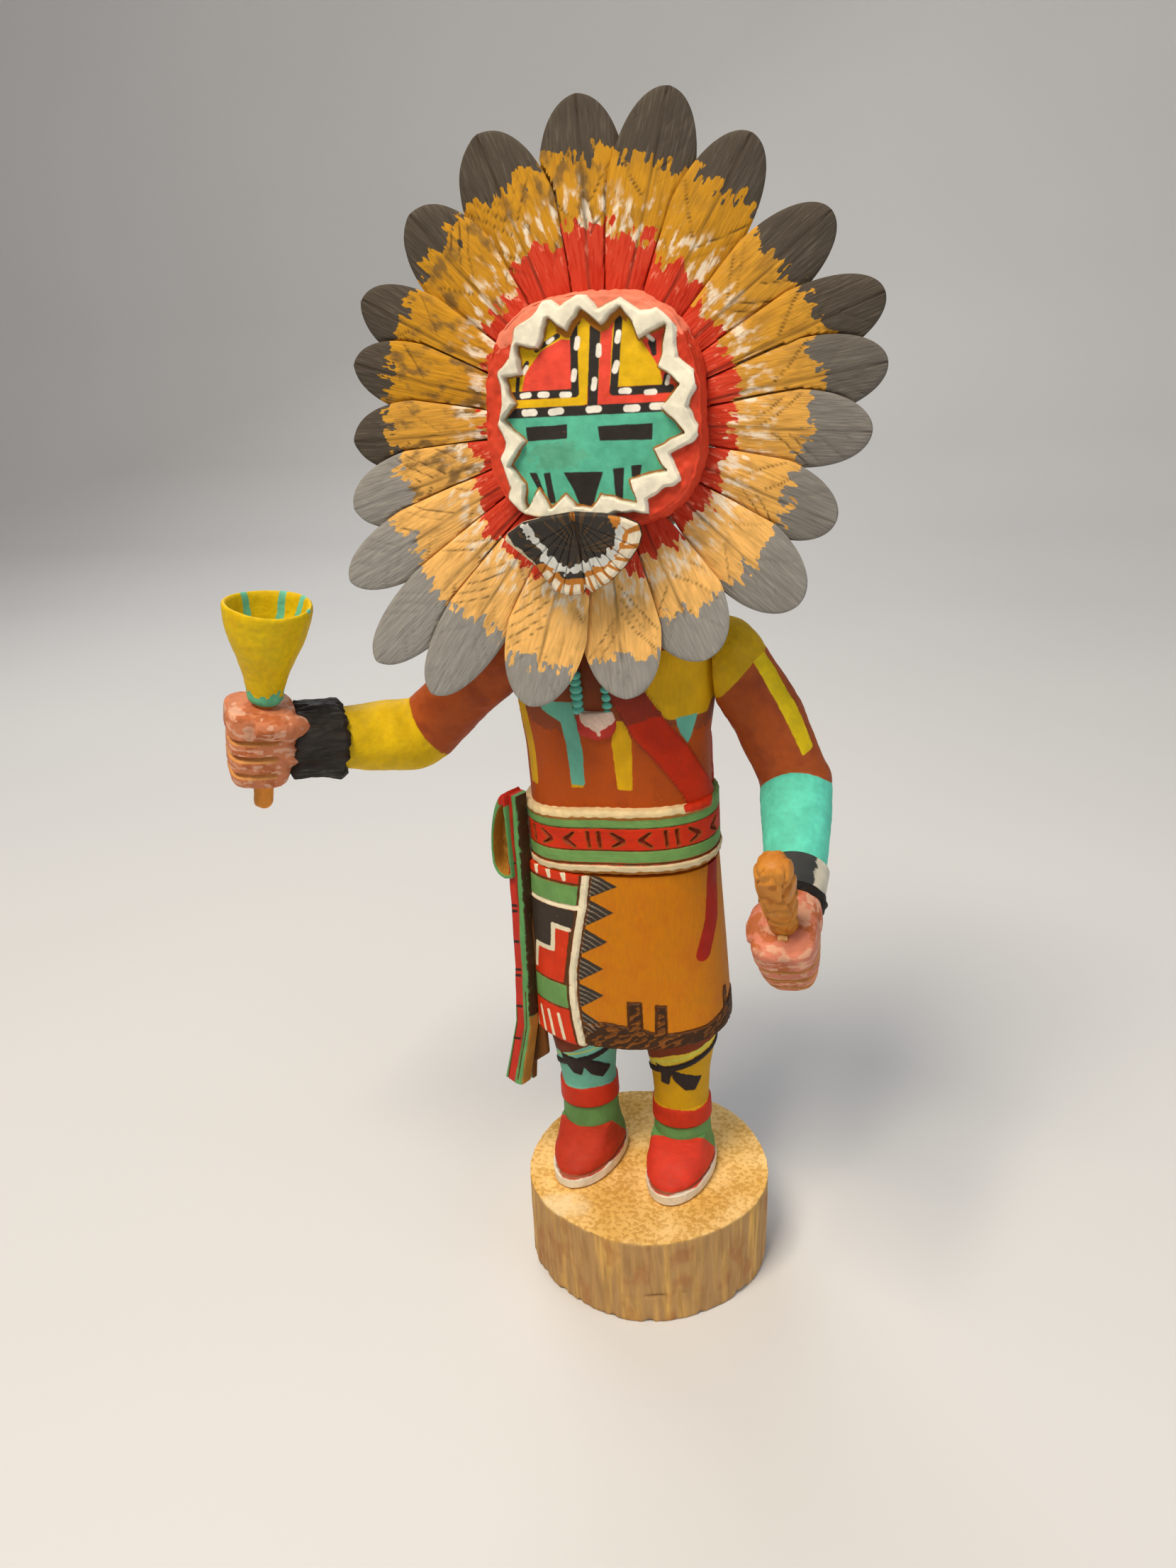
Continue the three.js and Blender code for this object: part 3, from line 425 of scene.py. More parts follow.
def painted(name, base, layers, streak=(1, 1, 12), worn=0.35, matt=(0.5, 0.75), tone=0.1, shade=None, seed=0):
    """Brushed paint on carved wood: a clouded base colour, (field, colour[, wobble]) layers, then wear, then
    grime and painted shade along the cut field.
    """
    finish = Finish(name)
    patch = finish.noise(7, detail=2, seed=seed + 1)
    colour = finish.mix(finish.span(patch, 0.35, 0.75), rgb(base), rgb(shade)) if shade else rgb(base)
    for k, layer in enumerate(layers):
        wobble = layer[2] if len(layer) > 2 else 0.3
        share = finish.inside(layer[0], wobble=wobble, seed=seed + k)
        colour = finish.mix(share, colour, rgb(layer[1]))
    brush = finish.noise(0.9, stretch=streak, detail=3, seed=seed)
    speck = finish.noise(0.7, stretch=tuple(1 + (s - 1) * 0.3 for s in streak), detail=2, seed=seed + 2)
    light = finish.math("ADD", finish.span(brush, 0.25, 0.75, (-tone, tone)),
                        finish.span(patch, 0.3, 0.7, (0.9, 1.08)))
    colour = finish.vector("SCALE", colour, scale=light)
    worn_spots = finish.math("MULTIPLY", finish.span(speck, 0.66, 0.78),
                             finish.span(patch, 0.45, 0.7, (0, worn)))
    colour = finish.mix(worn_spots, colour, BARE_WOOD)
    # The cut field darkens towards that brown: painted shade in creases, grooves and hollows, and grime and
    # scorch where a piece has them.
    colour = finish.mix(finish.field("cut"), colour, GRIME_AND_SHADE)
    finish.bump(finish.math("ADD", brush, finish.math("MULTIPLY", speck, 0.5)), 0.16)
    return finish.done(colour, finish.span(brush, 0.2, 0.8, matt))


def normals(rings):
    """Outward unit normals of a grid of rings."""
    across = np.roll(rings, -1, axis=1) - np.roll(rings, 1, axis=1)
    along = np.gradient(rings, axis=0)
    normal = np.cross(across, along)
    normal /= np.linalg.norm(normal, axis=-1, keepdims=True) + 1e-12
    middle = rings.mean(axis=1, keepdims=True)
    facing = np.sign(np.einsum("ijk,ijk->", normal, rings - middle))
    return normal * (facing or 1)


def squared(turn, power):
    """Across and up on a unit circle squared off towards its box; a power of one leaves it round."""
    across, up = np.cos(turn), np.sin(turn)
    return np.sign(across) * np.abs(across) ** power, np.sign(up) * np.abs(up) ** power


def run_along(*parts):
    """The length run along a path up to each of its points, from the path's parts."""
    return np.concatenate([[0], np.cumsum(np.sqrt(sum(np.diff(part) ** 2 for part in parts)))])


def oval_ring(x, y, wide, deep, power, count):
    """A level oval, evenly spaced from the middle of its back round by the doll's left, and the way round."""
    ahead, aside = squared(np.linspace(-math.pi, math.pi, 1441), 2 / power)
    px, py = x + wide * aside, y - deep * ahead
    run = run_along(px, py)
    way = np.linspace(0, run[-1], count, endpoint=False)
    return np.interp(way, run, px), np.interp(way, run, py), way - run[-1] / 2


def turn_grid(count, rows):
    """The turn and the row's own value at every point of a grid of closed rings."""
    return np.meshgrid(np.linspace(0, 2 * math.pi, count, endpoint=False), rows)


def garment(levels, count, power):
    """Rings through levels (z, x, wide, deep), and every point's place on the unrolled garment.

    Across is the way round from the middle of the front towards the doll's left, and up is the height.
    """
    rings, across = [], []
    for z, x, wide, deep in levels:
        px, py, way = oval_ring(x, BODY_Y, wide, deep, power, count)
        rings.append(joined(px, py, np.full(count, z)))
        across.append(way)
    rings = np.array(rings)
    return rings, np.array(across), rings[..., 2].copy()


def kilt_levels(heights):
    for z in heights:
        share = np.clip((z - KILT["bottom"]) / (KILT["top"] - KILT["bottom"]), 0, 1) ** 1.3
        wide = KILT["wide"] + (KILT["waist_wide"] - KILT["wide"]) * share
        deep = KILT["deep"] + (KILT["waist_deep"] - KILT["deep"]) * share
        yield z, KILT["x"], wide, deep


heights = np.concatenate([[96, 96.25], np.linspace(96.6, 160, 134)])
kilt_rings, u, v = garment(kilt_levels(heights), 360, 2.3)
stripe_path = [(95, -12.9), (105.7, -14.5), (114.5, -15.1), (124.5, -14.5), (137, -12), (149.5, -9.2),
               (163, -7)]
stripe_x = read_off(stripe_path, v)
off_panel = 99.0 * ((u > stripe_x) | (u < KILT["side_seam"]))
triangles, hatching = [], []
for tip, high, low in (((2.4, 156.7), 161.5, 152.2), ((0.8, 147.6), 152.2, 141.6), ((-1.7, 137), 141.6, 131),
                       ((-3.75, 127), 131, 120.6), ((-4.2, 117), 120.6, 110.4), ((-5.1, 105.4), 110.4, 99)):
    high_x, low_x = (read_off(stripe_path, z) + 1.2 for z in (high, low))
    triangles.append(polygon(u, v, [tip, (high_x, high), (low_x, low)]))
    for share in (0.2, 0.38, 0.56, 0.74, 0.9):
        start = np.array([high_x + 0.6, high]) + (np.array([low_x, low]) - (high_x, high)) * share
        toward = (np.array(tip) - (high_x, high)) * (1 - share) * 0.92
        hatching.append(stroke(u, v, [start, start + toward * 0.5 + (0, 0.3), start + toward], (0.6, 0.4)))
triangles, hatching = any_of(*triangles), any_of(*hatching)
hem_top = [(-9.5, 105), (-4.5, 106.4), (2.4, 105.4), (7.4, 104.8), (11.1, 103), (15.8, 102), (29.3, 101.7),
           (36.8, 103.6), (45, 106), (60, 105), (90, 105)]
tabs = any_of(*(polygon(u, v, [(x, 101), (x + 0.4, top), (x + wide, top - 0.5), (x + wide - 0.2, 101)])
                for x, top, wide in ((3.2, 115, 4.8), (12.3, 113.2, 3.7), (38.4, 112, 2.6))))
hem = both(any_of(v - read_off(hem_top, u), tabs), stripe_x + 1.2 - u)
hem = any_of(hem, both(v - 104.5 - 0.6 * np.sin(u * 0.35), u - KILT["side_seam"]))
above_steps = [(-70, 147.4), (-9, 147.4), (-12, 140.5), (-20.4, 140.5), (-21.4, 131.4), (-28.9, 131),
               (-30.4, 122.3), (-70, 121.6)]
step_line = [(-14.6, 140), (-20.4, 140.5), (-21.4, 131.4), (-28.9, 131), (-30.4, 122.3), (-37, 121.6)]
kilt_fields = {
    "white": any_of(band(u, stripe_x, 1.2), stroke(u, v, step_line, 1.7),
                    *(stroke(u, v, [(x, 163.2), (x + 0.7, 157.9)], (2.8, 1.4)) + off_panel
                      for x in (-31.5, -26.8, -21.3, -15.7)),
                    *(stroke(u, v, [(x - 0.8, 106.4), (x + 0.8, 97.4)], 1.3)
                      for x in (-33.5, -29, -25, -20.5)),
                    both(band(v, 148.3, 0.8), u - stripe_x)),
    "red": any_of(band(v, 160.2, 3.8), v - 147.4) + off_panel,
    "green": any_of(band(v, 152.6, 3.5), band(v, 114.4, 4.4)) + off_panel,
    "black": any_of(triangles, polygon(u, v, above_steps) + off_panel),
    "hatch": both(hatching, triangles + 0.2),
    "strap": stroke(u, v, [(36.6, 163), (35, 152), (33.3, 141), (29.6, 129.4)], (6.6, 5.8)),
    "hem": hem,
    "line": any_of(np.abs(band(u, stripe_x, 1.7)) - 0.45, np.abs(band(v, 152.6, 3.9)) - 0.4 + off_panel,
                   np.abs(band(v, 114.4, 4.7)) - 0.35 + off_panel,
                   stroke(u, v, [(-13.8, 139), (-17.2, 120)], 1.6),
                   both(np.abs(hem) - 0.4, stripe_x + 1.4 - u)),
}
scorch = lumps(joined(0.45 * (u + 0.5 * v), 0 * u, 1.5 * (v - 0.45 * u)), 1.1, 7)
in_hem = smooth(-hem, 0, 0.4)
kilt_fields["singed"] = 0.45 - scorch - in_hem * 0.2 + 9 * (1 - in_hem)
cuts = smooth(-hatching, -0.1, 0.2) * smooth(-triangles, 0, 0.3)
panel = smooth(stripe_x + 1.2 - u, 0, 0.5) * smooth(u, KILT["side_seam"], KILT["side_seam"] + 2)
height = KILT["panel_proud"] * panel + 0.3 * lumps(kilt_rings, 14, 3) * (1 - panel) - 0.3 * cuts
height += in_hem * (KILT["hem_proud"] * smooth(v, 96, 97) - 0.4 * smooth(scorch, 0.1, 0.6)) * (1 - panel)
height += 0.2 * smooth(-triangles, 0, 0.5) - 0.3 * smooth(-kilt_fields["line"], 0, 0.3)
height -= 0.6 * (1 - smooth(v, 96, 97.2)) * (1 + 0.5 * lumps(kilt_rings, 3, 8))
# Painted shade: the ochre is darkened towards the doll's left side and lightens again round the back. The cut
# field carries it together with the scorched hem, which is a real dark mark.
left_side_shade = smooth(u, 18, 58) - smooth(u, 62, 92)
kilt_fields["cut"] = in_hem * 0.5 * smooth(scorch, 0.15, 0.7) + 0.3 * left_side_shade * (1 - in_hem)
kilt_rings = kilt_rings + normals(kilt_rings) * height[..., None]
to_left = np.clip(kilt_rings[..., 0] / KILT["wide"], 0, 1)
kilt_rings[..., 2] += KILT["rise"] * to_left * (1 - np.clip((v - KILT["bottom"]) / 64, 0, 1))
kilt = carve("kilt", kilt_rings, kilt_fields)
kilt_paint = painted("kilt_paint", "#cf7e05", [
    ("strap", "#a81c04"), ("red", "#d4360f"), ("green", "#6c9a55"),
    ("black", "#3a3129", 0.2), ("hem", "#3d2512", 0.5),
    ("singed", "#97591c", 0.2), ("line", "#5c3413", 0.2), ("white", "#ece0c0"),
    ("hatch", "#978c7a", 0.1)], streak=(1, 1, 4), tone=0.06, shade="#bd6c08", seed=1)
settle(kilt, kilt_paint, "figure_paint", "figure")

# ------------------------------------------------------------------ legs
# Round, painted shins under the kilt, the right one turquoise and the left one yellow. Each has a black
# thong tied below the knee with two blunt tails, a red anklet and a green band that runs down on to the
# moccasin.
SOLE = 36.3
LEGS = {
    "right": {"foot": (-20.8, 0.5), "turn": -13, "hip": (-20.2, 3.5), "skin": "#6fb8a0", "shade": "#5a9a84",
              "light": "#7fcab4", "anklet": (62, 70), "thong": 83.0, "shoe": "#b8351d", "vamp": -4.6,
              "knot": (0.3, [[(-7, 1.8), (1.8, 0.8), (0.2, -7), (-3, -6.4), (-6.2, -2.2)],
                             [(0.2, 0.6), (5, -0.4), (11.4, -5.6), (7.6, -9.2), (3.2, -6.6), (0.6, -2.4)]])},
    "left": {"foot": (13, -2), "turn": -8, "hip": (13.6, 3.5), "skin": "#cf9b05", "shade": "#b78904",
             "light": "#dfc13c", "anklet": (58.6, 65.8), "thong": 84.1, "shoe": "#d43a26", "vamp": -2.2,
             "knot": (-3.0, [[(-3.8, 1.6), (3.4, 0.8), (1.4, -3.2), (0.8, -6.6), (-2.6, -6.4), (-2, -2.7)],
                             [(1.4, 0.6), (7.6, -1.8), (12.4, -4), (9.8, -9), (6.2, -8.4), (2.4, -4.4)]])},
}
leg_heights = np.linspace(46, 103, 100)
for side, leg in LEGS.items():
    low, high = leg["anklet"]
    share = (leg_heights - SOLE) / (KILT["bottom"] + 8 - SOLE)
    middle_x = leg["foot"][0] + (leg["hip"][0] - leg["foot"][0]) * share
    middle_y = leg["foot"][1] + 3 + (leg["hip"][1] - leg["foot"][1] - 3) * share
    calf = [(46, 9.9), (50, 10.3), (low - 0.6, 9.9), (low + 0.2, 10.6), (high - 0.6, 10.4),
            (high + 0.3, 9.6), (78, 10.3), (84, 11.3), (90, 12.4), (97, 12.8), (103, 13)]
    radius = read_off(calf, leg_heights)
    turn, up = turn_grid(120, leg_heights)
    rings = joined(middle_x[:, None] + radius[:, None] * np.sin(turn),
                   middle_y[:, None] - radius[:, None] * np.cos(turn), up)
    way = (np.mod(turn + math.pi, 2 * math.pi) - math.pi) * 10
    level = up - leg["thong"] - 0.42 * np.clip(way, -22, 16)
    knot, tails = leg["knot"]
    knot_z = leg["thong"] + 0.42 * knot
    tie = any_of(np.abs(level) - 1.4, *(polygon(way - knot, up - knot_z, tail) for tail in tails))
    wavy = 0.8 * np.sin(way * 0.35 + (2 if side == "left" else 0))
    # The cut field darkens the crease at the anklet's lower edge as painted shade.
    fields = {"light": 1.6 - level, "gleam": band(level, 3.4, 0.35), "tie": tie,
              "green": up - low - wavy * 0.6,
              "red": np.abs(up - (low + high) / 2 - wavy * 0.4) - (high - low) / 2,
              "shade": any_of(5.0 - level + wavy, 92.5 - up),
              "cut": 0.7 * smooth(0.5 - np.abs(up - low), 0, 0.4)}
    height = 0.26 * lumps(rings * (1, 1, 0.7), 7, 3) + 0.55 * smooth(-tie, 0, 0.5)
    rings = rings + normals(rings) * height[..., None]
    shin = carve(f"{side}_shin", rings, fields)
    paint = painted(f"{side}_shin_paint", leg["skin"], [
        ("light", leg["light"], 0.5), ("gleam", "#c9d25a", 0.3), ("shade", "#7c3413", 0.6),
        ("green", "#5f8a4c"), ("red", "#bf2f12", 0.35), ("tie", "#2b2220", 0.25)],
                    streak=(1, 1, 3), tone=0.05, shade=leg["shade"], seed=60 if side == "left" else 70)
    settle(shin, paint, "figure_paint", "figure")

# ------------------------------------------------------------------ moccasins
# Red moccasins with a flat sloping vamp and a green ankle, on a thick white sole that stands out
# all round.
moccasin_levels = [(0, 10.9, 19.7, 15.6), (0.4, 11.4, 20.3, 16), (3.8, 11.5, 20.4, 16), (4.1, 11.2, 20, 15.7),
                   (4.4, 10.5, 18.9, 15.1), (6, 10.6, 17.9, 15.1), (8, 10.6, 15.6, 15),
                   (10, 10.4, 13.2, 14.7), (12, 10.2, 11, 14.2), (14, 10, 9.3, 13.6), (16, 9.8, 8, 13),
                   (17.5, 9.4, 7.2, 12.4)]
rise = np.concatenate([[0, 0.2, 0.4], np.linspace(0.9, 3.8, 5), [3.95, 4.1, 4.4], np.linspace(4.7, 17.5, 30)])
for side, leg in LEGS.items():
    half, toe, heel = read_off(moccasin_levels, rise[:, None])
    turn, up = turn_grid(170, rise)
    ahead = np.cos(turn) > 0
    boxed = np.interp(up, [4, 7, 12], [0.98, 0.8, 0.55])
    reach = np.where(ahead, toe, heel) * squared(turn, np.where(ahead, boxed, 0.9))[0]
    aside = half * squared(turn, np.where(ahead, boxed, 0.8))[1]
    turn_out = math.radians(leg["turn"])
    rings = joined(leg["foot"][0] + aside * math.cos(turn_out) + reach * math.sin(turn_out),
                   leg["foot"][1] + aside * math.sin(turn_out) - reach * math.cos(turn_out), SOLE + up)
    upper = smooth(up, 4, 4.8)
    height = upper * (0.25 * lumps(rings, 6, 5) + 0.35 * smooth(up, 4.2, 6) * (1 - smooth(up, 8, 12)))
    height += (1 - upper) * 0.2 * lumps(rings * (1, 1, 0.4), 2.2, 6)
    rings = rings + normals(rings) * (height * (up > 0.5))[..., None]
    slope = (up - 8.3) * 0.78
    # The cut field darkens the crease where the upper meets the sole as painted shade.
    fields = {"sole": up - 4.15 - 0.4 * lumps(rings, 5, 1),
              "cut": 0.45 * smooth(0.4 - np.abs(up - 4.4), 0, 0.4),
              "green": both(reach - slope - leg["vamp"] + 0.25 * aside + 0.5 * np.sin(aside * 0.6), 5.4 - up),
              "edge": np.abs(up - 4.5) - 0.3}
    moccasin = carve(f"{side}_moccasin", rings, fields, crease=50)
    paint = painted(f"{side}_moccasin_paint", leg["shoe"], [
        ("green", "#5f8a4c", 0.5), ("edge", "#b86a4a", 0.2), ("sole", "#e8dfca", 0.3)],
                    streak=(3, 3, 1), worn=0.12, tone=0.05, seed=80)
    settle(moccasin, paint, "figure_paint", "figure")

# ------------------------------------------------------------------ belt
# A woven belt carved in the round: a cream rope edge above, green, red with knife-cut signs, green, and
# a white edge below. It sags a little on the right side, and the bandolier's end hides the rope edge on
# the left.
BELT = {"x": -1.8, "wide": 30.2, "deep": 19.5, "low": 161.4, "top": 183}
belt_profile = [(161.4, 0.5), (162, 0.9), (162.6, 1.3), (164.2, 1.4), (164.9, 0.9), (180.2, 0.9),
                (180.8, 1.3), (182, 1.3), (183, 0.6)]
heights = np.linspace(BELT["low"], BELT["top"], 72)
levels = [(z, BELT["x"], BELT["wide"] + proud, BELT["deep"] + proud)
          for z, proud in zip(heights, read_off(belt_profile, heights))]
belt_rings, u, v = garment([*levels, (BELT["top"], BELT["x"], 27, 16)], 380, 2.3)
signs = []
for turn in range(-3, 4):
    start = 24.5 * turn
    signs += [stroke(u, v, [(start + dx, z) for dx, z in path], width) for path, width in (
        (((-6.6, 175.6), (-6.2, 170.8)), (1.2, 0.9)), (((-3.1, 175.6), (-2.7, 170.8)), (1.2, 1)),
        (((1.2, 175.4), (4.3, 173.2)), (0.9, 1.7)), (((4.6, 172.7), (1.4, 171)), (1.5, 0.7)),
        (((13, 175.5), (10.2, 173.2)), (0.8, 1.7)), (((10.3, 172.9), (13.3, 170.9)), (1.6, 0.9)))]
signs = any_of(*signs)
end_of_strap = polygon(u, v, [(23.4, 184), (24.6, 181.2), (35, 180.6), (37, 184)])
past_strap = smooth(u, 35, 37) * (u < 60)
scallop = 0.35 * np.sin(u * 1.5) + 0.3 * np.sin(u * 0.63 + 1)
# Painted shade: under, the lip below the white lower edge, is painted tan as its shaded underside. The cut
# field darkens the knife-cut signs, partly their own dark colour and partly painted shade.
belt_fields = {
    "cream": 180.9 + 0.5 * scallop - v + 9 * past_strap,
    "tan": np.abs(v - 180.6 - 0.4 * scallop) - 0.5 + 9 * past_strap,
    "green": any_of(band(v, 178.6, 1.5), band(v, 167.5, 2.0), both(177.2 - v, 35.5 - u, u - 60)),
    "white": v - 164.6, "under": v - 162.6 - 0.5 * scallop, "strap": end_of_strap,
    "cut": np.clip(-signs * 2.5, 0, 0.7), "bare": np.abs(signs) - 0.25,
    "line": any_of(*(np.abs(v - z) - 0.2 for z in (177.1, 169.6)), band(v, 165, 0.3)),
}
height = 0.12 * lumps(belt_rings, 6, 4) - 0.8 * smooth(-signs, 0, 0.35)
height -= 0.3 * smooth(-belt_fields["line"], -0.2, 0.2)
height += 0.12 * np.sin(u * 1.9 + v * 0.8) * (v > 180.6) + 0.1 * np.sin(u * 1.4) * (v < 165)
height -= 0.45 * past_strap * smooth(v, 180.2, 180.8)
belt_rings = belt_rings + normals(belt_rings) * height[..., None]
belt_rings[..., 2] -= 2.0 * smooth(-u, 0, 28) * (1 - smooth(np.abs(u), 60, 78))
belt = carve("belt", belt_rings, belt_fields)
belt_paint = painted("belt_paint", "#cc2e0a", [
    ("green", "#6f9a54", 0.2), ("white", "#dcc8a0", 0.25), ("under", "#a8702c", 0.5),
    ("cream", "#e0c998", 0.25), ("tan", "#a8702c", 0.3), ("strap", "#cc2e0a"),
    ("line", "#5a3a14", 0.2), ("bare", "#8e4a16", 0.1)], streak=(5, 5, 1), tone=0.07, seed=20)
settle(belt, belt_paint, "figure_paint", "figure")

# ------------------------------------------------------------------ trunk
# Bare painted body: red-brown skin, yellow and turquoise body stripes, a yellow chest patch that runs
# over the left shoulder, and a red bandolier carved a little proud that comes round the waist again at
# the left.
SHOULDER_CUT = 30
trunk_stations = [(160, 29.2, 18), (170, 29.2, 18), (186, 29, 17.5), (200, 29, 17.5),
                  (214, 31.2, 18.5), (228, 34, 18), (236, 32, 15.5), (241, 25, 13), (244, 14, 11)]
heights = np.concatenate([np.linspace(160, 240, 100), [241, 242, 243, 243.6, 244]])
wides, deeps = read_off(trunk_stations, heights)
ease = np.ones(9) / 9
wides[5:-8], deeps[5:-8] = (np.convolve(w, ease, "same")[5:-8] for w in (wides, deeps))
trunk_rings, u, v = garment(zip(heights, [BELT["x"]] * len(heights), wides, deeps), 230, 2.4)
bandolier = polygon(u, v, [(2, 221), (5, 215.4), (9.4, 206), (17.5, 194.8), (23.1, 186), (25.5, 180),
                           (41, 180), (30.6, 192.9), (25.6, 201.6), (20, 209.8), (15, 218), (12.5, 222)])
waist_strap = polygon(u, v, [(43.5, 180), (49, 180), (48.5, 196), (46.5, 201), (44.8, 198)])
# Painted shadow of the fan: the body above the chest (high) and the top of the bandolier are painted darker.
# The cut field darkens the top of the chest between the strands as the same painted shadow, and the
# bandolier's edges as painted shade.
trunk_fields = {
    "high": 208.5 - v + 2 * np.sin(u * 0.15),
    "yellow": any_of(
        polygon(u, v, [(-31, 216), (-26.5, 216), (-24.8, 200), (-24.6, 187.5), (-28.6, 187.5), (-29.5, 200)]),
        polygon(u, v, [(4, 211.5), (7, 211.5), (8.6, 205), (7.9, 188.6), (3.4, 189), (2.5, 204)]),
        polygon(u, v, [(13, 215), (20, 211), (33.8, 211), (36, 214), (60, 216), (60, 232), (12, 232)]),
        polygon(u, v, [(-11.4, 192), (-7, 192), (-7.4, 189.2), (-11.2, 189)])),
    "turquoise": any_of(
        polygon(u, v, [(-20, 217), (-8.9, 217), (-7.5, 208), (-6.8, 201), (-6.9, 190), (-11.3, 189.8),
                       (-11.9, 203), (-13, 210.5), (-19, 214)]),
        polygon(u, v, [(21.9, 211.6), (29.4, 211.6), (27.4, 206), (25.6, 202.4), (23.4, 206)])),
    "red": any_of(bandolier, waist_strap),
    "red_high": both(any_of(bandolier, waist_strap), 208 - v + 0.3 * u),
    "pink": both(waist_strap, 186 - v),
    "cut": (0.5 * smooth(0.45 - np.abs(bandolier - 0.1), 0, 0.4)
            + 0.4 * smooth(v, 213, 224) * (np.abs(u) < 14)),
}
height = 0.25 * lumps(trunk_rings * (1, 1, 0.6), 9, 7) + 0.85 * smooth(-bandolier, -0.3, 0.5)
height += 1.1 * smooth(-waist_strap, -0.2, 0.6)
trunk_rings = trunk_rings + normals(trunk_rings) * height[..., None]
trunk_rings[..., 0] = np.clip(trunk_rings[..., 0], -SHOULDER_CUT, SHOULDER_CUT)
trunk = carve("trunk", trunk_rings, trunk_fields)
trunk_paint = painted("trunk_paint", "#b95010", [
    ("high", "#8f4522", 3), ("yellow", "#d8a608"), ("turquoise", "#69b39b"),
    ("red", "#c42c06"), ("red_high", "#93301c", 1.5), ("pink", "#cf6353", 0.6)],
                      streak=(1, 1, 4), tone=0.05, shade="#a04310", seed=40)
settle(trunk, trunk_paint, "figure_paint", "figure")

# ------------------------------------------------------------------ pendant
# A flat shell pendant at the throat with a straight top edge, carved with the figure. It is painted red
# and rubbed pale on its upper part.
turn, tilt = turn_grid(60, np.linspace(-1.5, 1.5, 32))
spread = joined(np.cos(tilt) * np.cos(turn), np.cos(tilt) * np.sin(turn), np.sin(tilt))
shell = np.sign(spread) * np.abs(spread) ** 0.8 * (6, 2, 5.4)
shell[..., 2] = np.minimum(shell[..., 2], 3.4 + 0.3 * lumps(shell, 1.5, 5))
shell = shell + (-3.4, -14.3, 211) + 0.25 * lumps(shell, 2.4, 2)[..., None]
points, faces = skin(shell)
rubbed = 207.6 - points[:, 2] + 0.9 * np.abs(points[:, 0] + 2.4) + 1.1 * lumps(points, 2.2, 3)
pendant = build("shell_pendant", points, faces, {"rubbed": rubbed, "cut": 0 * rubbed})
pendant_paint = painted("pendant_paint", "#b8352a", [("rubbed", "#dfc2ae", 0.9)], streak=(1, 1, 1),
                        worn=0.1, seed=55)
settle(pendant, pendant_paint, "figure_paint", "figure")

# ------------------------------------------------------------------ bead strands
# Two short strands of turquoise beads hang from under the feathers to the pendant, each bead whittled
# by hand and set flat on the next.
STRANDS = {"left": {"x": -8.6, "high": 226, "low": 214.8, "half": 1.9},
           "right": {"x": 0.3, "high": 224, "low": 213.8, "half": 1.6}}
BEAD_GAP, BEAD_SIDES = 2.1, 20


def bead_strands(material):
    """The tree that strings whittled beads along every edge of the mesh it is given."""
    tree = bpy.data.node_groups.new("bead_strands", "GeometryNodeTree")
    tree.interface.new_socket("Geometry", in_out="INPUT", socket_type="NodeSocketGeometry")
    for name, value in (("Radius", 1.9 * MM), ("Spacing", BEAD_GAP * MM)):
        tree.interface.new_socket(name, in_out="INPUT", socket_type="NodeSocketFloat").default_value = value
    tree.interface.new_socket("Seed", in_out="INPUT", socket_type="NodeSocketInt").default_value = 4
    tree.interface.new_socket("Geometry", in_out="OUTPUT", socket_type="NodeSocketGeometry")

    def add(kind, **inputs):
        """A node with these inputs linked or set."""
        node = tree.nodes.new(kind)
        for name, value in inputs.items():
            if isinstance(value, bpy.types.NodeSocket):
                tree.links.new(value, node.inputs[name])
            else:
                node.inputs[name].default_value = value
        return node

    def by_hand(low, high):
        """A vector of its own for every bead, between two vectors."""
        node = add("FunctionNodeRandomValue")
        node.data_type = "FLOAT_VECTOR"
        node.inputs[0].default_value, node.inputs[1].default_value = low, high
        tree.links.new(given["Seed"], node.inputs["Seed"])
        return node.outputs["Value"]

    given = add("NodeGroupInput").outputs
    curve = add("GeometryNodeMeshToCurve", Mesh=given["Geometry"])
    spaced = add("GeometryNodeResampleCurve", Curve=curve.outputs["Curve"])
    spaced.mode = "LENGTH"
    tree.links.new(given["Spacing"], spaced.inputs["Length"])
    bead = add("GeometryNodeMeshUVSphere", Segments=BEAD_SIDES, Rings=BEAD_SIDES // 2,
               Radius=given["Radius"])
    string = add("GeometryNodeInstanceOnPoints", Points=spaced.outputs["Curve"],
                 Instance=bead.outputs["Mesh"], Scale=by_hand((0.92, 0.8, 0.68), (1.05, 0.95, 0.8)),
                 Rotation=by_hand((-0.12, -0.12, -0.2), (0.12, 0.12, 0.2)))
    whole = add("GeometryNodeRealizeInstances", Geometry=string.outputs["Instances"])
    paint = add("GeometryNodeSetMaterial", Geometry=whole.outputs["Geometry"], Material=material)
    add("NodeGroupOutput", Geometry=paint.outputs["Geometry"])
    return tree


def grown(name, source, tree, **values):
    """The plain mesh that the tree makes from the source object, with these values on its named inputs."""
    modifier = source.modifiers.new(name, "NODES")
    modifier.node_group = tree
    for socket in tree.interface.items_tree:
        if socket.in_out == "INPUT" and socket.name in values:
            modifier[socket.identifier] = values[socket.name]
    mesh = bpy.data.meshes.new_from_object(source.evaluated_get(bpy.context.evaluated_depsgraph_get()))
    source.modifiers.remove(modifier)
    bpy.data.objects.remove(source)
    mesh.name = name
    mesh.polygons.foreach_set("use_smooth", [True] * len(mesh.polygons))
    piece = bpy.data.objects.new(name, mesh)
    bpy.context.scene.collection.objects.link(piece)
    return piece


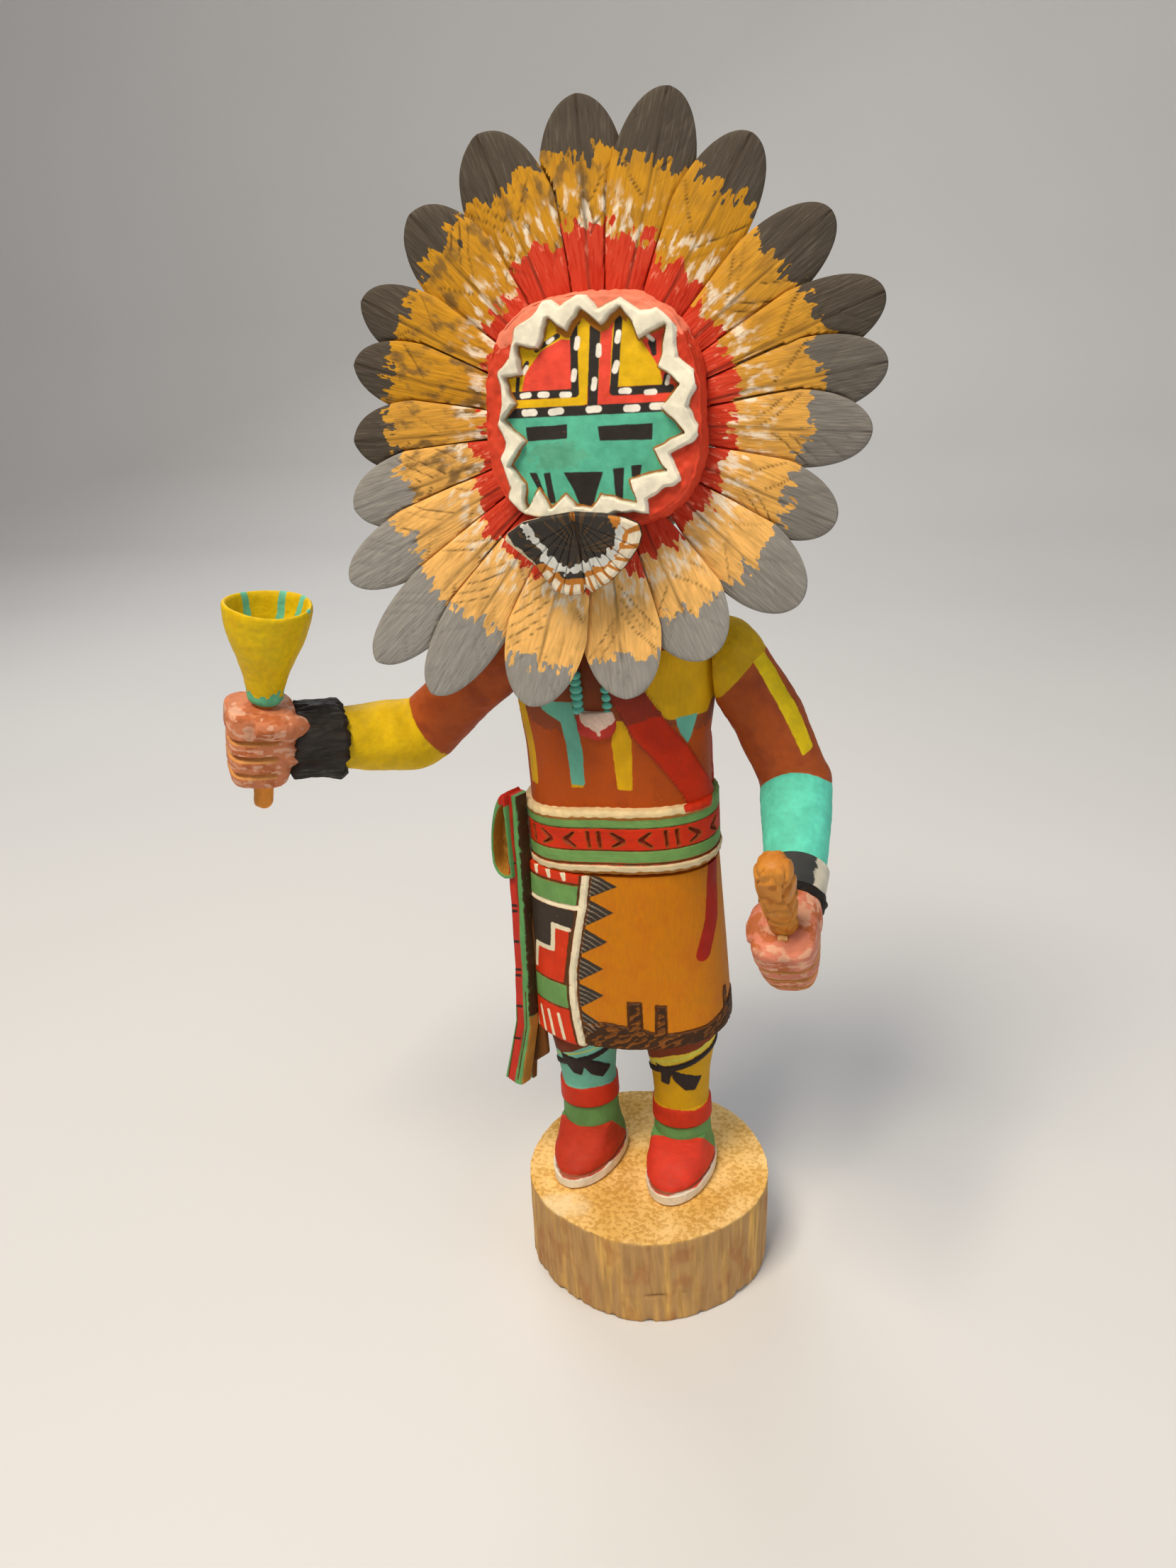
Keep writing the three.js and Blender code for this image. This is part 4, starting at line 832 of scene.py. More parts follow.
bead_paint = painted("bead_paint", "#63b8a4", [], streak=(2, 2, 1), worn=0.3, seed=56)
bead_tree = bead_strands(bead_paint)
for side, strand in STRANDS.items():
    cord = bpy.data.meshes.new("cord")
    cord.from_pydata([(strand["x"] * MM, (-15.4 + 0.12 * (226 - z)) * MM, z * MM)
                      for z in (strand["high"], (strand["high"] + strand["low"]) / 2, strand["low"])],
                     [(0, 1), (1, 2)], [])
    source = bpy.data.objects.new("cord", cord)
    bpy.context.scene.collection.objects.link(source)
    beads = grown(f"{side}_bead_strand", source, bead_tree, Radius=strand["half"] * MM, Seed=len(side))
    settle(beads, bead_paint, "figure_paint", "figure")

# ------------------------------------------------------------------ head and neck
# The plain turquoise block of the head behind the fan, leaning back with it. It stands on a short thick
# neck, as red-brown as the body.
HEAD_AT = np.array([6, -20, 297.0])
HEAD_TILT = math.radians(5)
CORE = {"wide": 26, "tall": 30, "drop": 4}


def leaned(local):
    """Head-dress points put in place: +X is the doll's left, -Y out of the face and +Z up the fan."""
    local = np.asarray(local, float)
    c, s = math.cos(HEAD_TILT), math.sin(HEAD_TILT)
    y, z = local[..., 1], local[..., 2]
    return joined(local[..., 0], y * c + z * s, z * c - y * s) + HEAD_AT


turn, depth = turn_grid(130, np.concatenate([[0.3, 0.6], np.linspace(1.2, 38, 44), [39, 39.7, 40]]))
share = np.interp(depth, [0, 6, 22, 28, 33, 37, 39, 40], [0.94, 1, 0.99, 0.92, 0.8, 0.62, 0.46, 0.3])
rings = leaned(joined(CORE["wide"] * share * np.cos(turn), depth,
                      CORE["tall"] * share * np.sin(turn) - CORE["drop"]))
knife = 0.35 * lumps(rings, 8, 12) + 0.12 * lumps(rings, 2.5, 13)
rings = rings + normals(rings) * knife[..., None]
head_block = carve("head_block", rings, {"edge": depth - 5, "cut": 0 * depth})
head_paint = painted("head_paint", "#4f9c86", [("edge", "#9c3a22", 0.8)], streak=(2, 8, 2), seed=90)
settle(head_block, head_paint, "figure_paint", "figure")

turn, up = turn_grid(80, np.linspace(236, 276, 26))
neck_radius = np.interp(up, [236, 246, 266, 276], [13.2, 14, 14, 14])
rings = joined(np.interp(up, [237, 246, 276], [0, 1, 4]) + neck_radius * np.cos(turn),
               np.interp(up, [246, 276], [4, 3]) + neck_radius * 0.98 * np.sin(turn), up)
rings = rings + normals(rings) * (0.25 * lumps(rings, 7, 14))[..., None]
settle(carve("neck", rings, {"cut": 0 * up}), painted("neck_paint", "#8f4522", [], seed=95),
       "figure_paint", "figure")

# ------------------------------------------------------------------ mask
# A squat drum with red sides. A white zigzag band stands round its front edge, and the face is let in
# behind it: a quartered brow in red and yellow, a beaded black bar, and a turquoise face with slit eyes
# and a hooked mouth.
MASK = {"wide": 28.6, "tall": 31.6, "chin": 26.5, "square": 2.7, "boss": 21.5, "back": 3.6, "rim": 12.6,
        "band": 14.4, "face": 11.6, "dome": 2}
BAND_OUTER = [(-9.9, 31), (-6.3, 28), (-1, 32), (3.3, 27.4), (9.2, 29.8), (13.7, 26.2), (19.6, 26.8),
              (22.8, 25.2), (22.6, 14.8), (28.8, 9.8), (25, 3.2), (29, -3.1), (20.8, -8.1), (22.8, -14.5),
              (14.2, -18.8), (14.4, -22.6), (6, -22.2), (-2, -24.4), (-8, -23), (-14.5, -23), (-20, -22),
              (-23.1, -17.6), (-22.2, -14.9), (-24.5, -7.6), (-23.1, -3.5), (-25, 1), (-23.4, 6),
              (-23.6, 14), (-20.6, 16.9), (-18.9, 24), (-13.9, 26.6)]
BAND_INNER = [(-9.7, 25.3), (-5.1, 22.4), (-1.3, 27.1), (3.5, 23), (8.7, 27), (11.5, 23.3), (13, 19.4),
              (19.9, 22.4), (17.8, 12.8), (23, 8.5), (18.3, 3.3), (23.7, -2.9), (15.8, -6.5), (19, -11.7),
              (9.6, -13.8), (11, -19.5), (5.1, -18.1), (1.9, -17.2), (-0.8, -20.4), (-4.9, -19.9),
              (-7.4, -16.7), (-11.7, -20.4), (-14.7, -15.6), (-18.3, -20.8), (-18.3, -14), (-22, -9.5),
              (-17.6, -3.5), (-23.1, 2.1), (-19.5, 5.8), (-22.2, 12.4), (-17.6, 12.8), (-17.9, 19.6),
              (-12.6, 18.7)]


def drum_radius(bearing, inset=0.0):
    """The drum's outline: squared, and cut shorter below; the bearing runs from the top towards the left."""
    s, c = np.abs(np.sin(bearing)), np.abs(np.cos(bearing))
    tall = np.where(np.cos(bearing) > 0, MASK["tall"], MASK["chin"]) - inset
    power = MASK["square"]
    return ((s / (MASK["wide"] - inset)) ** power + (c / tall) ** power) ** (-1 / power)


def spread_rows(rows, bearing):
    """Rows of a height and a reach, each spread round every bearing."""
    return (np.array([row[k] + 0 * bearing for row in rows]) for k in (0, 1))


FRONT_ROWS = 102
bearing = np.linspace(0, 2 * math.pi, 446, endpoint=False)
rim = drum_radius(bearing, 1.3)
side_rows = [(MASK["back"], 0.6), (MASK["back"] + 0.3, 0.2)]
side_rows += [(MASK["back"] + 1 + depth, 0.8 * depth / 8) for depth in np.linspace(0, 7.6, 14)]
side_rows += [(12.3, 1.1)]
mask_rows = [(0, MASK["boss"]), (MASK["back"], MASK["boss"])]
mask_rows += [(height, drum_radius(bearing, inset)) for height, inset in side_rows]
mask_rows += [(np.nan, rim * (1 - k / FRONT_ROWS) ** 0.96) for k in range(FRONT_ROWS)]
mask_height, radius = spread_rows(mask_rows, bearing)
x, z = radius * np.sin(bearing), radius * np.cos(bearing)
on_front = np.isnan(mask_height)
flat = joined(x, 0 * x, z)
outer, inner = polygon(x, z, BAND_OUTER), polygon(x, z, BAND_INNER)
outer = outer + 0.35 + 0.4 * lumps(flat, 2.6, 21)
inner = inner - 0.15 + 0.3 * lumps(flat, 2.6, 22)
on_band = smooth(-outer, -0.1, 0.5) * smooth(inner, -0.3, 0.35)
in_face = smooth(-inner, -0.35, 0.3)
from_rim = smooth(rim - radius, 0, 0.6)
dome = MASK["dome"] * np.clip(1 - np.hypot(x / 22, z / 26) ** 1.6, 0, 1)
front_height = MASK["rim"] - 0.35 * (1 - from_rim) + (MASK["band"] - MASK["rim"]) * on_band
front_height = front_height * (1 - in_face) + (MASK["face"] + dome) * in_face
front_height += on_band * (0.25 * lumps(flat, 4, 23) - 0.35 * smooth(1 - np.abs(outer), 0.4, 1) * (outer < 0))
front_height += (1 - on_band) * (1 - in_face) * 0.3 * lumps(flat, 1.6, 26)
front_height += in_face * 0.14 * lumps(flat, 4, 24)
mask_height = np.where(on_front, front_height, mask_height)


def dashes(x, z, places, long, wide):
    """Small white brush dabs; each place is across, up and the turn of the dab in degrees."""
    fields = []
    for px, pz, turn in places:
        dx, dz = math.cos(math.radians(turn)) * long / 2, math.sin(math.radians(turn)) * long / 2
        fields.append(stroke(x, z, [(px - dx, pz - dz), (px + dx, pz + dz)], wide))
    return any_of(*fields)


def corner(down, across, width):
    """A line that comes down and turns off level: its two legs as paths of one width."""
    return any_of(stroke(x, z, down, width), stroke(x, z, across, width))


brow = both(4.0 - z, inner - 0.4)
left_black = corner([(-3.4, 25), (-3.5, 7.7)], [(-3.5, 7.7), (-22, 7.7)], 2)
left_yellow = any_of(polygon(x, z, [(-2.4, 27), (0.7, 26), (-0.5, 4.8), (-3.4, 6.8)]),
                     band(z, 5.7, 1) + 9 * (x > -1))
centre_black = polygon(x, z, [(0.9, 25), (3.6, 24), (2.2, 4.5), (-0.4, 4.5)])
right_red = any_of(polygon(x, z, [(3.6, 24), (8, 27), (6.4, 22), (5.5, 8.6), (2.2, 4.5)]),
                   band(z, 5.5, 1) + 9 * (x < 3))
right_black = corner([(8, 24.3), (6.4, 7.6)], [(6.4, 7.6), (20.5, 7.6)], 2)
left_red = polygon(x, z, [(-6.7, 20.5), (-3.8, 20.1), (-4.5, 8.7), (-17.8, 8.7), (-16.6, 12.8), (-12.2, 18)])
left_teeth = both(any_of(x + 6, 9 - z), -left_red, 8.7 - z)
right_gold = polygon(x, z, [(9, 25.2), (12.5, 20.6), (18, 12.4), (18.6, 8.6), (7.1, 8.6)])
tooth_marks = any_of(*(stroke(x, z, path, width) for path, width in (
    (((-13.4, 18.4), (-7.6, 21.4)), 1.3), (((-18.6, 12.2), (-16, 15.4)), 1.1), (((-19, 9), (-18.6, 12)), 1.1),
    (((-3.6, 23.4), (-2.2, 24.4)), 1.3), (((16.2, 18.6), (16.6, 16)), (2, 1.2)),
    (((19, 8), (19.6, 10.6)), 1.6))))
bar = both(band(z, 3.45, 1.2), inner)
eyes = any_of(polygon(x, z, [(-17.3, 0), (-6, 0.3), (-6.2, -3.2), (-17, -3.5)]),
              polygon(x, z, [(2, -0.5), (15.9, -0.3), (15.6, -4.3), (2.4, -4)]))
mouth = any_of(
    polygon(x, z, [(-7.8, -11.4), (2.8, -11.6), (1.2, -15.4), (-0.6, -20.8), (-3.6, -20.9), (-5.6, -15.4)]),
    polygon(x, z, [(-17.4, -11.2), (-15.2, -11.4), (-13.4, -16.2), (-14.6, -16.6)]),
    polygon(x, z, [(-13.2, -11.5), (-11.4, -11.4), (-10.4, -19.2), (-12.3, -19.3)]),
    polygon(x, z, [(5.3, -10.9), (8.2, -10.8), (7.4, -18.8), (5.6, -18.8)]),
    polygon(x, z, [(9.9, -10.3), (12.8, -10.2), (12, -13.3), (10, -13.2)]))
dabs = any_of(
    dashes(x, z, [(-16, 3.5, 0), (-8.8, 3.5, 5), (1.2, 3.6, 0), (10.8, 3.4, 0), (17.2, 3.6, 0)], 2.6, 1.7),
    dashes(x, z, [(-2.6, 19.4, 80), (-3.7, 11.9, 80), (2.9, 17.4, 85), (1.5, 9.6, 80), (7.8, 20.3, 80),
                  (7.1, 13.3, 70), (-16.8, 7.7, 5), (-11.9, 7.7, 0), (-6, 7.4, 0), (9.2, 7.6, 0),
                  (15.5, 7.0, 0)],
           1.9, 1.45),
    dashes(x, z, [(-9.6, 20.4, 30), (-16.6, 13.8, 55), (15.8, 19.6, -40), (19.8, 9.6, 75)], 1.6, 1.0))
stained = np.hypot((x + 9) / 7, (z + 7) / 3.2) * 3 - 3
edge_raw = any_of(np.abs(inner + 0.1) - 0.42, both(np.abs(inner) - 1.6, 20 - z, band(x, 1, 9)),
                  np.abs(outer) - 0.12)
mask_fields = {
    "band": both(outer - 0.15, -inner - 0.1), "turquoise": both(inner + 0.1, z - 4.6), "stain": stained,
    "yellow": both(brow, any_of(left_yellow, left_teeth, right_gold)),
    "red": both(brow, any_of(right_red, left_red, both(13 - x, 9 - z, -right_gold))),
    "black": both(inner + 0.3, any_of(left_black, centre_black, right_black, bar, eyes, mouth, tooth_marks)),
    "dabs": dabs, "raw": edge_raw,
}
mask_fields = {name: np.where(on_front, field, 9.0) for name, field in mask_fields.items()}
edge_shade = 0.4 * smooth(0.45 - np.abs(inner + 0.15), 0, 0.4)
edge_shade += 0.3 * smooth(0.3 - np.abs(outer - 0.2), 0, 0.3)
mask_fields["cut"] = np.where(on_front, edge_shade, 0)
# Painted highlight: the top of the drum is painted a paler pink (high), as if lit from above.
mask_fields["high"] = 20 - z + 3 * lumps(flat, 4, 27)
wall_place = joined(x, mask_height, z)
wall = 0.35 * lumps(wall_place, 6, 25) + 0.4 * lumps(wall_place * (1, 0.6, 1), 2.2, 28)
wall = (wall + 0.2 * lumps(wall_place, 0.9, 29)) * ~on_front
swelled = 1 + wall / np.maximum(radius, 1)
mask_rings = leaned(joined(x * swelled, -mask_height, z * swelled))
sun_mask = carve("sun_mask", mask_rings, mask_fields, crease=60)
mask_paint = painted("mask_paint", "#d8472c", [
    ("high", "#ee8468", 3.0), ("turquoise", "#58b596"), ("stain", "#5cab8c", 3),
    ("yellow", "#ddb010", 0.2), ("red", "#e34a37", 0.2), ("black", "#2f2a27", 0.15),
    ("raw", "#b4701f", 0.35), ("band", "#ece6d0", 0.25), ("dabs", "#efeadd", 0.2)],
                     streak=(3, 1, 3), worn=0.15, tone=0.1, shade="#b8321a", seed=100)
settle(sun_mask, mask_paint, "mask_paint", "mask")

# ------------------------------------------------------------------ feathers
# Twenty-one separately carved wooden feathers pegged behind the mask. Each is a thin board with a low
# crown, a cut quill and slanting knife-cut barbs; red at the root, ochre dabbed with white, and
# charcoal at the tip.
FEATHER_TINTS = {"red": "#d5442a", "red_deep": "#b52c14", "pink": "#ec8a70", "ochre": "#c58d1e",
                 "pale": "#f4bd6c",
                 "umber": "#8a5a1c", "charcoal": "#4c443a", "ash": "#93908a", "lit_grey_streak": "#aaa69c",
                 "soot_light": "#6f675b", "white": "#f0e6d0", "smudge": "#5c4930", "cut": "#33261a",
                 "back": "#b98c55", "back_dark": "#8f6536"}
# Painted light: on the lower feathers, where the light falls, the tips are painted a lighter grey in place of
# charcoal and the ochre is painted paler. Each list gives every feather's share of it.
LIT_TIP_SHARES = [0, 0, 0, 0, 0, 0.25, 0.55, 0.6, 0.8, 1, 1, 1, 1, 1, 1, 0.9, 0, 0, 0, 0, 0]
LIT_OCHRE_SHARES = [0, 0, 0, 0.1, 0.1, 0.2, 0.45, 0.6, 0.9, 1, 1, 1, 1, 1, 0.9, 0.6, 0.2, 0, 0, 0, 0]
FEATHER = {"root": 23, "root_half": 3.1, "edge": 1.5, "crown": 2.5, "twist": 6, "broad": 0.6, "gap": 0.3}
FEATHER_CUTS = [  # bearing from the top, reach, width, and how far out the ochre runs
    (-2, 76, 22, 63), (15, 78, 21, 62), (32, 75, 20, 62.5), (52, 74, 19, 57.5), (69, 76, 19, 60),
    (81, 73, 19, 57), (94, 69, 19, 53), (114, 66, 19.5, 52), (133, 70, 22.5, 53), (157, 68, 24.5, 54),
    (177, 74, 23.5, 62), (198, 80, 23, 67), (216.5, 91, 19, 64), (228, 95, 18.5, 64), (242, 86, 18, 63),
    (254.5, 75, 20, 57), (268.5, 70, 19, 59), (285, 70, 18, 60), (298, 72, 19, 60),
    (318, 71.5, 22.5, 59.5), (338, 75, 24.5, 61)]
BOTTOM_FEATHER, FIRST_SMUDGED = 11, 15
FRONT_COLUMNS, BACK_COLUMNS, FEATHER_ROWS = 35, 7, 92


def feather_half(radius, reach, width):
    share = (radius - FEATHER["root"]) / (reach - FEATHER["root"])
    widening = np.clip(share / FEATHER["broad"], 0, 1) ** 0.8
    wedge = FEATHER["root_half"] + (width / 2 - FEATHER["root_half"]) * widening
    tip = np.clip((share - FEATHER["broad"]) / (1 - FEATHER["broad"]), 0, 1)
    return np.maximum(wedge * np.sqrt(np.clip(1 - tip ** 2.2, 0, 1)), 0.4), tip


def lay(index):
    """How a feather is turned: its bearing, its twist and its lift off the fan's plane."""
    side = 0 if index == BOTTOM_FEATHER else (1 if index < BOTTOM_FEATHER else -1)
    lift = 1.8 if side == 0 else 0.9
    return math.radians(FEATHER_CUTS[index][0]), math.radians(FEATHER["twist"] * side), lift


def turned(local, index, back=False):
    """Feather points to fan points, or back again."""
    bearing, twist, lift = lay(index)
    about_z = np.array(Matrix.Rotation(twist, 3, "Z"))
    about_y = np.array(Matrix.Rotation(bearing, 3, "Y"))
    if back:
        return (local @ about_y + (0, lift, 0)) @ about_z
    return (local @ about_z.T - (0, lift, 0)) @ about_y.T


def feather_grid(index):
    """A feather's rings in the fan's frame, with its own along and across and how deep each cut is."""
    _, reach, width, ochre_end = FEATHER_CUTS[index]
    along = np.linspace(0, 1, FEATHER_ROWS)
    along = np.where(along < 0.8, along * 1.12, 1 - 0.104 * ((1 - along) / 0.2) ** 2)
    along = FEATHER["root"] + (reach - FEATHER["root"]) * along
    half, tip = feather_half(along, reach, width)
    step = np.linspace(-1, 1, FRONT_COLUMNS)
    front = 0.35 * np.sin(step * math.pi / 2) + 0.65 * step
    ring_side = np.concatenate([front, np.linspace(0.97, -0.97, BACK_COLUMNS)])
    is_front = np.concatenate([np.ones(FRONT_COLUMNS), np.zeros(BACK_COLUMNS)])
    side, radius = np.meshgrid(ring_side, along)
    across = side * half[:, None]
    thin = (1 - 0.25 * tip)[:, None]
    crown = FEATHER["edge"] + (FEATHER["crown"] - FEATHER["edge"]) * np.clip(1 - np.abs(side), 0, 1) ** 0.8
    rounded = 0.5 * np.abs(side) ** 12
    flat = joined(across, 37.0 * index + 0 * across, radius)
    quill = np.clip(1 - np.abs(across - 0.25 * np.sin(radius * 0.13 + index)) / 0.55, 0, 1)
    pitch = 3.6
    slant = (radius - 1.15 * np.abs(across)) / pitch + 0.35 * (across > 0) + 0.3 * lumps(flat, 6, index)
    cell = np.floor(slant)
    strength = np.abs(np.modf(np.sin(cell * 12.9898 + index * 78.233 + (across > 0) * 37.7) * 43758.5453)[0])
    barb = np.clip(1 - np.abs(slant - cell - 0.5) * pitch / 0.42, 0, 1) * smooth(strength, 0.5, 0.75)
    barb_end = 0.72 + 0.2 * strength
    barb *= smooth(np.abs(across), 0.6, 1.2) * (1 - smooth(np.abs(side), barb_end, barb_end + 0.08))
    barb *= smooth(radius, 38, 44) * (1 - smooth(radius, reach - 7, reach - 3))
    hand = 0.18 * lumps(flat, 5, 31) + 0.07 * lumps(flat * (1, 1, 0.25), 1.1, 32)
    depth = (crown - rounded) * thin + hand - 0.38 * quill - 0.32 * barb
    y = np.where(is_front > 0, -np.maximum(depth, 0.35), -0.02 * np.abs(side))
    rings = turned(joined(across, y, radius), index)
    on_tip = smooth(radius, ochre_end - 1, ochre_end + 2)
    dark = 0.7 * quill * (1 - on_tip * LIT_TIP_SHARES[index]) + 0.9 * barb * (1 - 0.8 * on_tip)
    cut = is_front * np.clip(dark, 0, 0.8)
    return rings, {"along": radius, "across": across, "cut": cut, "front": is_front + 0 * radius}


def pressed_under(rings, over):
    """Presses points that would lie in the board of a feather laid before them to just behind it."""
    local = turned(rings, over, back=True)
    _, reach, width, _ = FEATHER_CUTS[over]
    half, _ = feather_half(local[..., 2], reach, width)
    beyond = np.minimum(half + FEATHER["gap"] - np.abs(local[..., 0]), local[..., 2] - FEATHER["root"])
    covered = (beyond > 0) & (local[..., 2] < reach) & (local[..., 1] < FEATHER["gap"])
    local[..., 1] = np.where(covered, FEATHER["gap"], local[..., 1])
    return turned(local, over)


coat = Finish("feather_paint")
along, across, seed = (coat.field(name) for name in ("along", "across", "seed"))
own = coat.tree.nodes.new("ShaderNodeCombineXYZ")
for socket, value in zip(own.inputs, (across, seed, along)):
    coat.feed(socket, value)
own = own.outputs["Vector"]
tint = {name: rgb(code) for name, code in FEATHER_TINTS.items()}
ragged = coat.noise(1.5, stretch=(1, 1, 3.2), detail=3, place=own)
broad = coat.noise(4.5, detail=1, seed=1, place=own)
tear = coat.math("ADD", coat.span(ragged, 0.3, 0.7, (-2.2, 2.2)), coat.span(broad, 0.3, 0.7, (-2, 2)))
strokes = coat.noise(0.7, stretch=(1, 1, 8), detail=2, seed=7, place=own)
grain = coat.noise(0.5, stretch=(1, 1, 12), detail=3, seed=3, place=own)
# The paler ochre and the light grey tips of the lower feathers are painted light.
ochre = coat.mix(coat.field("pale"), tint["ochre"], tint["pale"])
shadow = coat.noise(2.2, stretch=(1, 1, 4), seed=2, place=own)
ochre = coat.mix(coat.span(shadow, 0.5, 0.8, (0, 0.4)), ochre, tint["umber"])
soot = coat.mix(coat.span(grain, 0.5, 0.75, (0, 0.5)), tint["charcoal"], tint["soot_light"])
ash = coat.mix(coat.span(grain, 0.5, 0.75, (0, 0.5)), tint["ash"], tint["lit_grey_streak"])
tip = coat.mix(coat.field("ashen"), soot, ash)
patches = coat.span(coat.noise(3.2, stretch=(1, 1, 1.8), detail=3, seed=4, place=own), 0.48, 0.68, (0, 0.75))
ochre = coat.mix(coat.math("MULTIPLY", coat.field("smudged"), patches), ochre, tint["smudge"])
to_tip = coat.math("SUBTRACT", coat.math("ADD", along, tear), coat.field("tip_edge"))
colour = coat.mix(coat.span(to_tip, -0.25, 0.25), ochre, tip)
red_tear = coat.math("MULTIPLY", tear, 0.8)
to_red = coat.math("SUBTRACT", coat.math("ADD", along, red_tear), coat.field("red_edge"))
ring = coat.math("MULTIPLY", coat.span(to_red, -1.5, 0.5), coat.span(to_red, 11, 4))
dab = coat.span(coat.noise(1.7, stretch=(1, 1, 2.4), detail=3, seed=5, place=own), 0.46, 0.64, (0, 0.85))
colour = coat.mix(coat.math("MULTIPLY", ring, dab), colour, tint["white"])
red = coat.mix(coat.span(strokes, 0.35, 0.7), tint["red"], tint["red_deep"])
dab = coat.span(coat.noise(1.1, stretch=(1, 1, 3), detail=2, seed=6, place=own), 0.58, 0.7, (0, 0.75))
red = coat.mix(coat.math("MULTIPLY", dab, coat.span(to_red, -10, -1)), red, tint["pink"])
colour = coat.mix(coat.span(to_red, 0.3, -0.3), colour, red)
colour = coat.mix(coat.field("cut"), colour, tint["cut"])
colour = coat.mix(coat.field("front"), coat.mix(grain, tint["back"], tint["back_dark"]), colour)
colour = coat.vector("SCALE", colour, scale=coat.span(strokes, 0.25, 0.75, (0.88, 1.1)))
coat.bump(coat.math("ADD", grain, strokes), 0.2)
feather_paint = coat.done(colour, coat.span(strokes, 0.3, 0.7, (0.6, 0.8)))

count = len(FEATHER_CUTS)
laid_order = sorted(range(count), key=lambda i: abs(i - BOTTOM_FEATHER))
for place, index in enumerate(laid_order):
    rings, fields = feather_grid(index)
    bearing = np.arctan2(rings[..., 0], rings[..., 2])
    under_drum = np.hypot(rings[..., 0], rings[..., 2]) < drum_radius(bearing) + FEATHER["gap"]
    ceiling = -(MASK["back"] - FEATHER["gap"])
    rings[..., 1] = np.where(under_drum, np.maximum(rings[..., 1], ceiling), rings[..., 1])
    for over in laid_order[:place]:
        apart = abs(index - over)
        if min(apart, count - apart) <= 2:
            rings = pressed_under(rings, over)
    centre_bearing, reach, _, ochre_end = FEATHER_CUTS[index]
    around = math.radians(centre_bearing)
    red_end = (40 - 5 * abs(math.sin(around)) + 2 * math.cos(around)
               + 7 * smooth(math.cos(around - 3.9), 0.6, 1)
               + 5 * smooth(math.cos(around), 0.7, 1) - 5 * smooth(-math.sin(around), 0.8, 0.95))
    flat_fields = {"ashen": LIT_TIP_SHARES[index], "pale": LIT_OCHRE_SHARES[index], "seed": 41.0 * index,
                   "tip_edge": ochre_end,
                   "red_edge": red_end, "smudged": 1.0 if index >= FIRST_SMUDGED or index == 0 else 0.3}
    for field, value in flat_fields.items():
        fields[field] = np.full_like(fields["along"], value)
    name = f"feather_{index + 1:02d}"
    piece = carve(f"carved_{name}", leaned(rings), fields, crease=55)
    settle(piece, feather_paint, "feather_paint", name)

# ------------------------------------------------------------------ butterfly
# A butterfly cut from one thin board at the chin: charcoal wings with knife-cut veins, a brushed row
# of grey white through them and an orange edge with cream scallops, leaning down from the face.
BUTTERFLY = {"z": -21.5, "thick": 2.4, "lean": math.radians(14), "height": 14.7}
WINGS = [(-4.9, -21), (-11.3, -21.9), (-18.5, -23.3), (-23.2, -26.2), (-24.2, -28), (-20.4, -31.7),
         (-16.8, -34.9), (-14.6, -38.6), (-12.2, -42.2), (-8.5, -43.4), (-4.6, -42.9), (-3.7, -41),
         (-2.1, -42.6), (3, -39.6), (7.6, -35.4), (11.6, -30.2), (12.6, -27.1), (12, -24.4), (8.6, -22.9),
         (3, -21.6), (-2.2, -21.3)]


def rim_reach(outline, hub, bearing, farthest, steps):
    """How far an outline lies from a hub inside it, along each bearing."""
    reach = np.linspace(0, farthest, steps)[:, None]
    outside = polygon(hub[0] + reach * np.sin(bearing), hub[1] + reach * np.cos(bearing), outline) > 0
    return reach[np.argmax(outside, axis=0), 0]


bearing = np.linspace(0, 2 * math.pi, 320, endpoint=False)
hub = (-4.6, -31)
rim = rim_reach(WINGS, hub, bearing, 26, 521)
rows = [(0, share) for share in (0.3, 0.7, 0.985)] + [(0.35, 1), (1.1, 1), (1.8, 1), (2.1, 0.992)]
rows += [(BUTTERFLY["thick"], share) for share in 0.985 - np.linspace(0, 0.97, 62)]
depth, share = spread_rows(rows, bearing)
x = hub[0] + rim * share * np.sin(bearing)
z = hub[1] + rim * share * np.cos(bearing)
edge = polygon(x, z, WINGS)
front = smooth(depth, 1.9, 2.35)
veins = any_of(stroke(x, z, [(-4.9, -21.6), (-4, -30), (-3.8, -40.4)], (1.1, 0.5)),
               *(stroke(x, z, [(-4.6, -23.5), (-4.6 + 24 * math.sin(a), -23.5 - 24 * math.cos(a))],
                        (0.35, 0.6))
                 for a in np.radians([-62, -50, -38, -27, -16, 14, 26, 39, 52, 66])))
body = stroke(x, z, [(-4.9, -22), (-4.1, -33)], (2.6, 1.2))
brushed = 0.9 * lumps(joined(x, 0 * x, z), 0.9, 42)
white_row = brushed + any_of(
    stroke(x, z, [(-18, -24.8), (-15.6, -28), (-13.4, -31.4)], (1.8, 1.5)),
    stroke(x, z, [(-13.4, -33.2), (-11, -35.8), (-7.4, -36.4), (-2.2, -35.6)], (2, 2.6)),
    stroke(x, z, [(-1, -34.7), (2.6, -33.5), (5, -31.5), (5.6, -29.8), (7, -25.7), (8.4, -22.4)], (2.2, 1.9)),
    stroke(x, z, [(8.4, -22.6), (10.4, -21.8)], 2.4))
right_edge = stroke(x, z, [(-3, -41.6), (3, -39.6), (7.6, -35.4), (11.6, -30.2), (12.6, -27.1), (12, -24.4),
                           (10.5, -23)], 0)
low_edge = stroke(x, z, [(-4.6, -43), (-8.5, -43.4), (-12.2, -42.2), (-14.6, -39)], 0)
left_edge = stroke(x, z, [(-24.2, -26.8), (-24, -28.2), (-20.4, -31.7), (-17.4, -34.4)], 1.7)
fan_angle = np.arctan2(x - hub[0], hub[1] - z)
dividers = (0.34 - np.abs((fan_angle / 0.27) % 1 - 0.5)) * 4
on_right = -3.4 - x
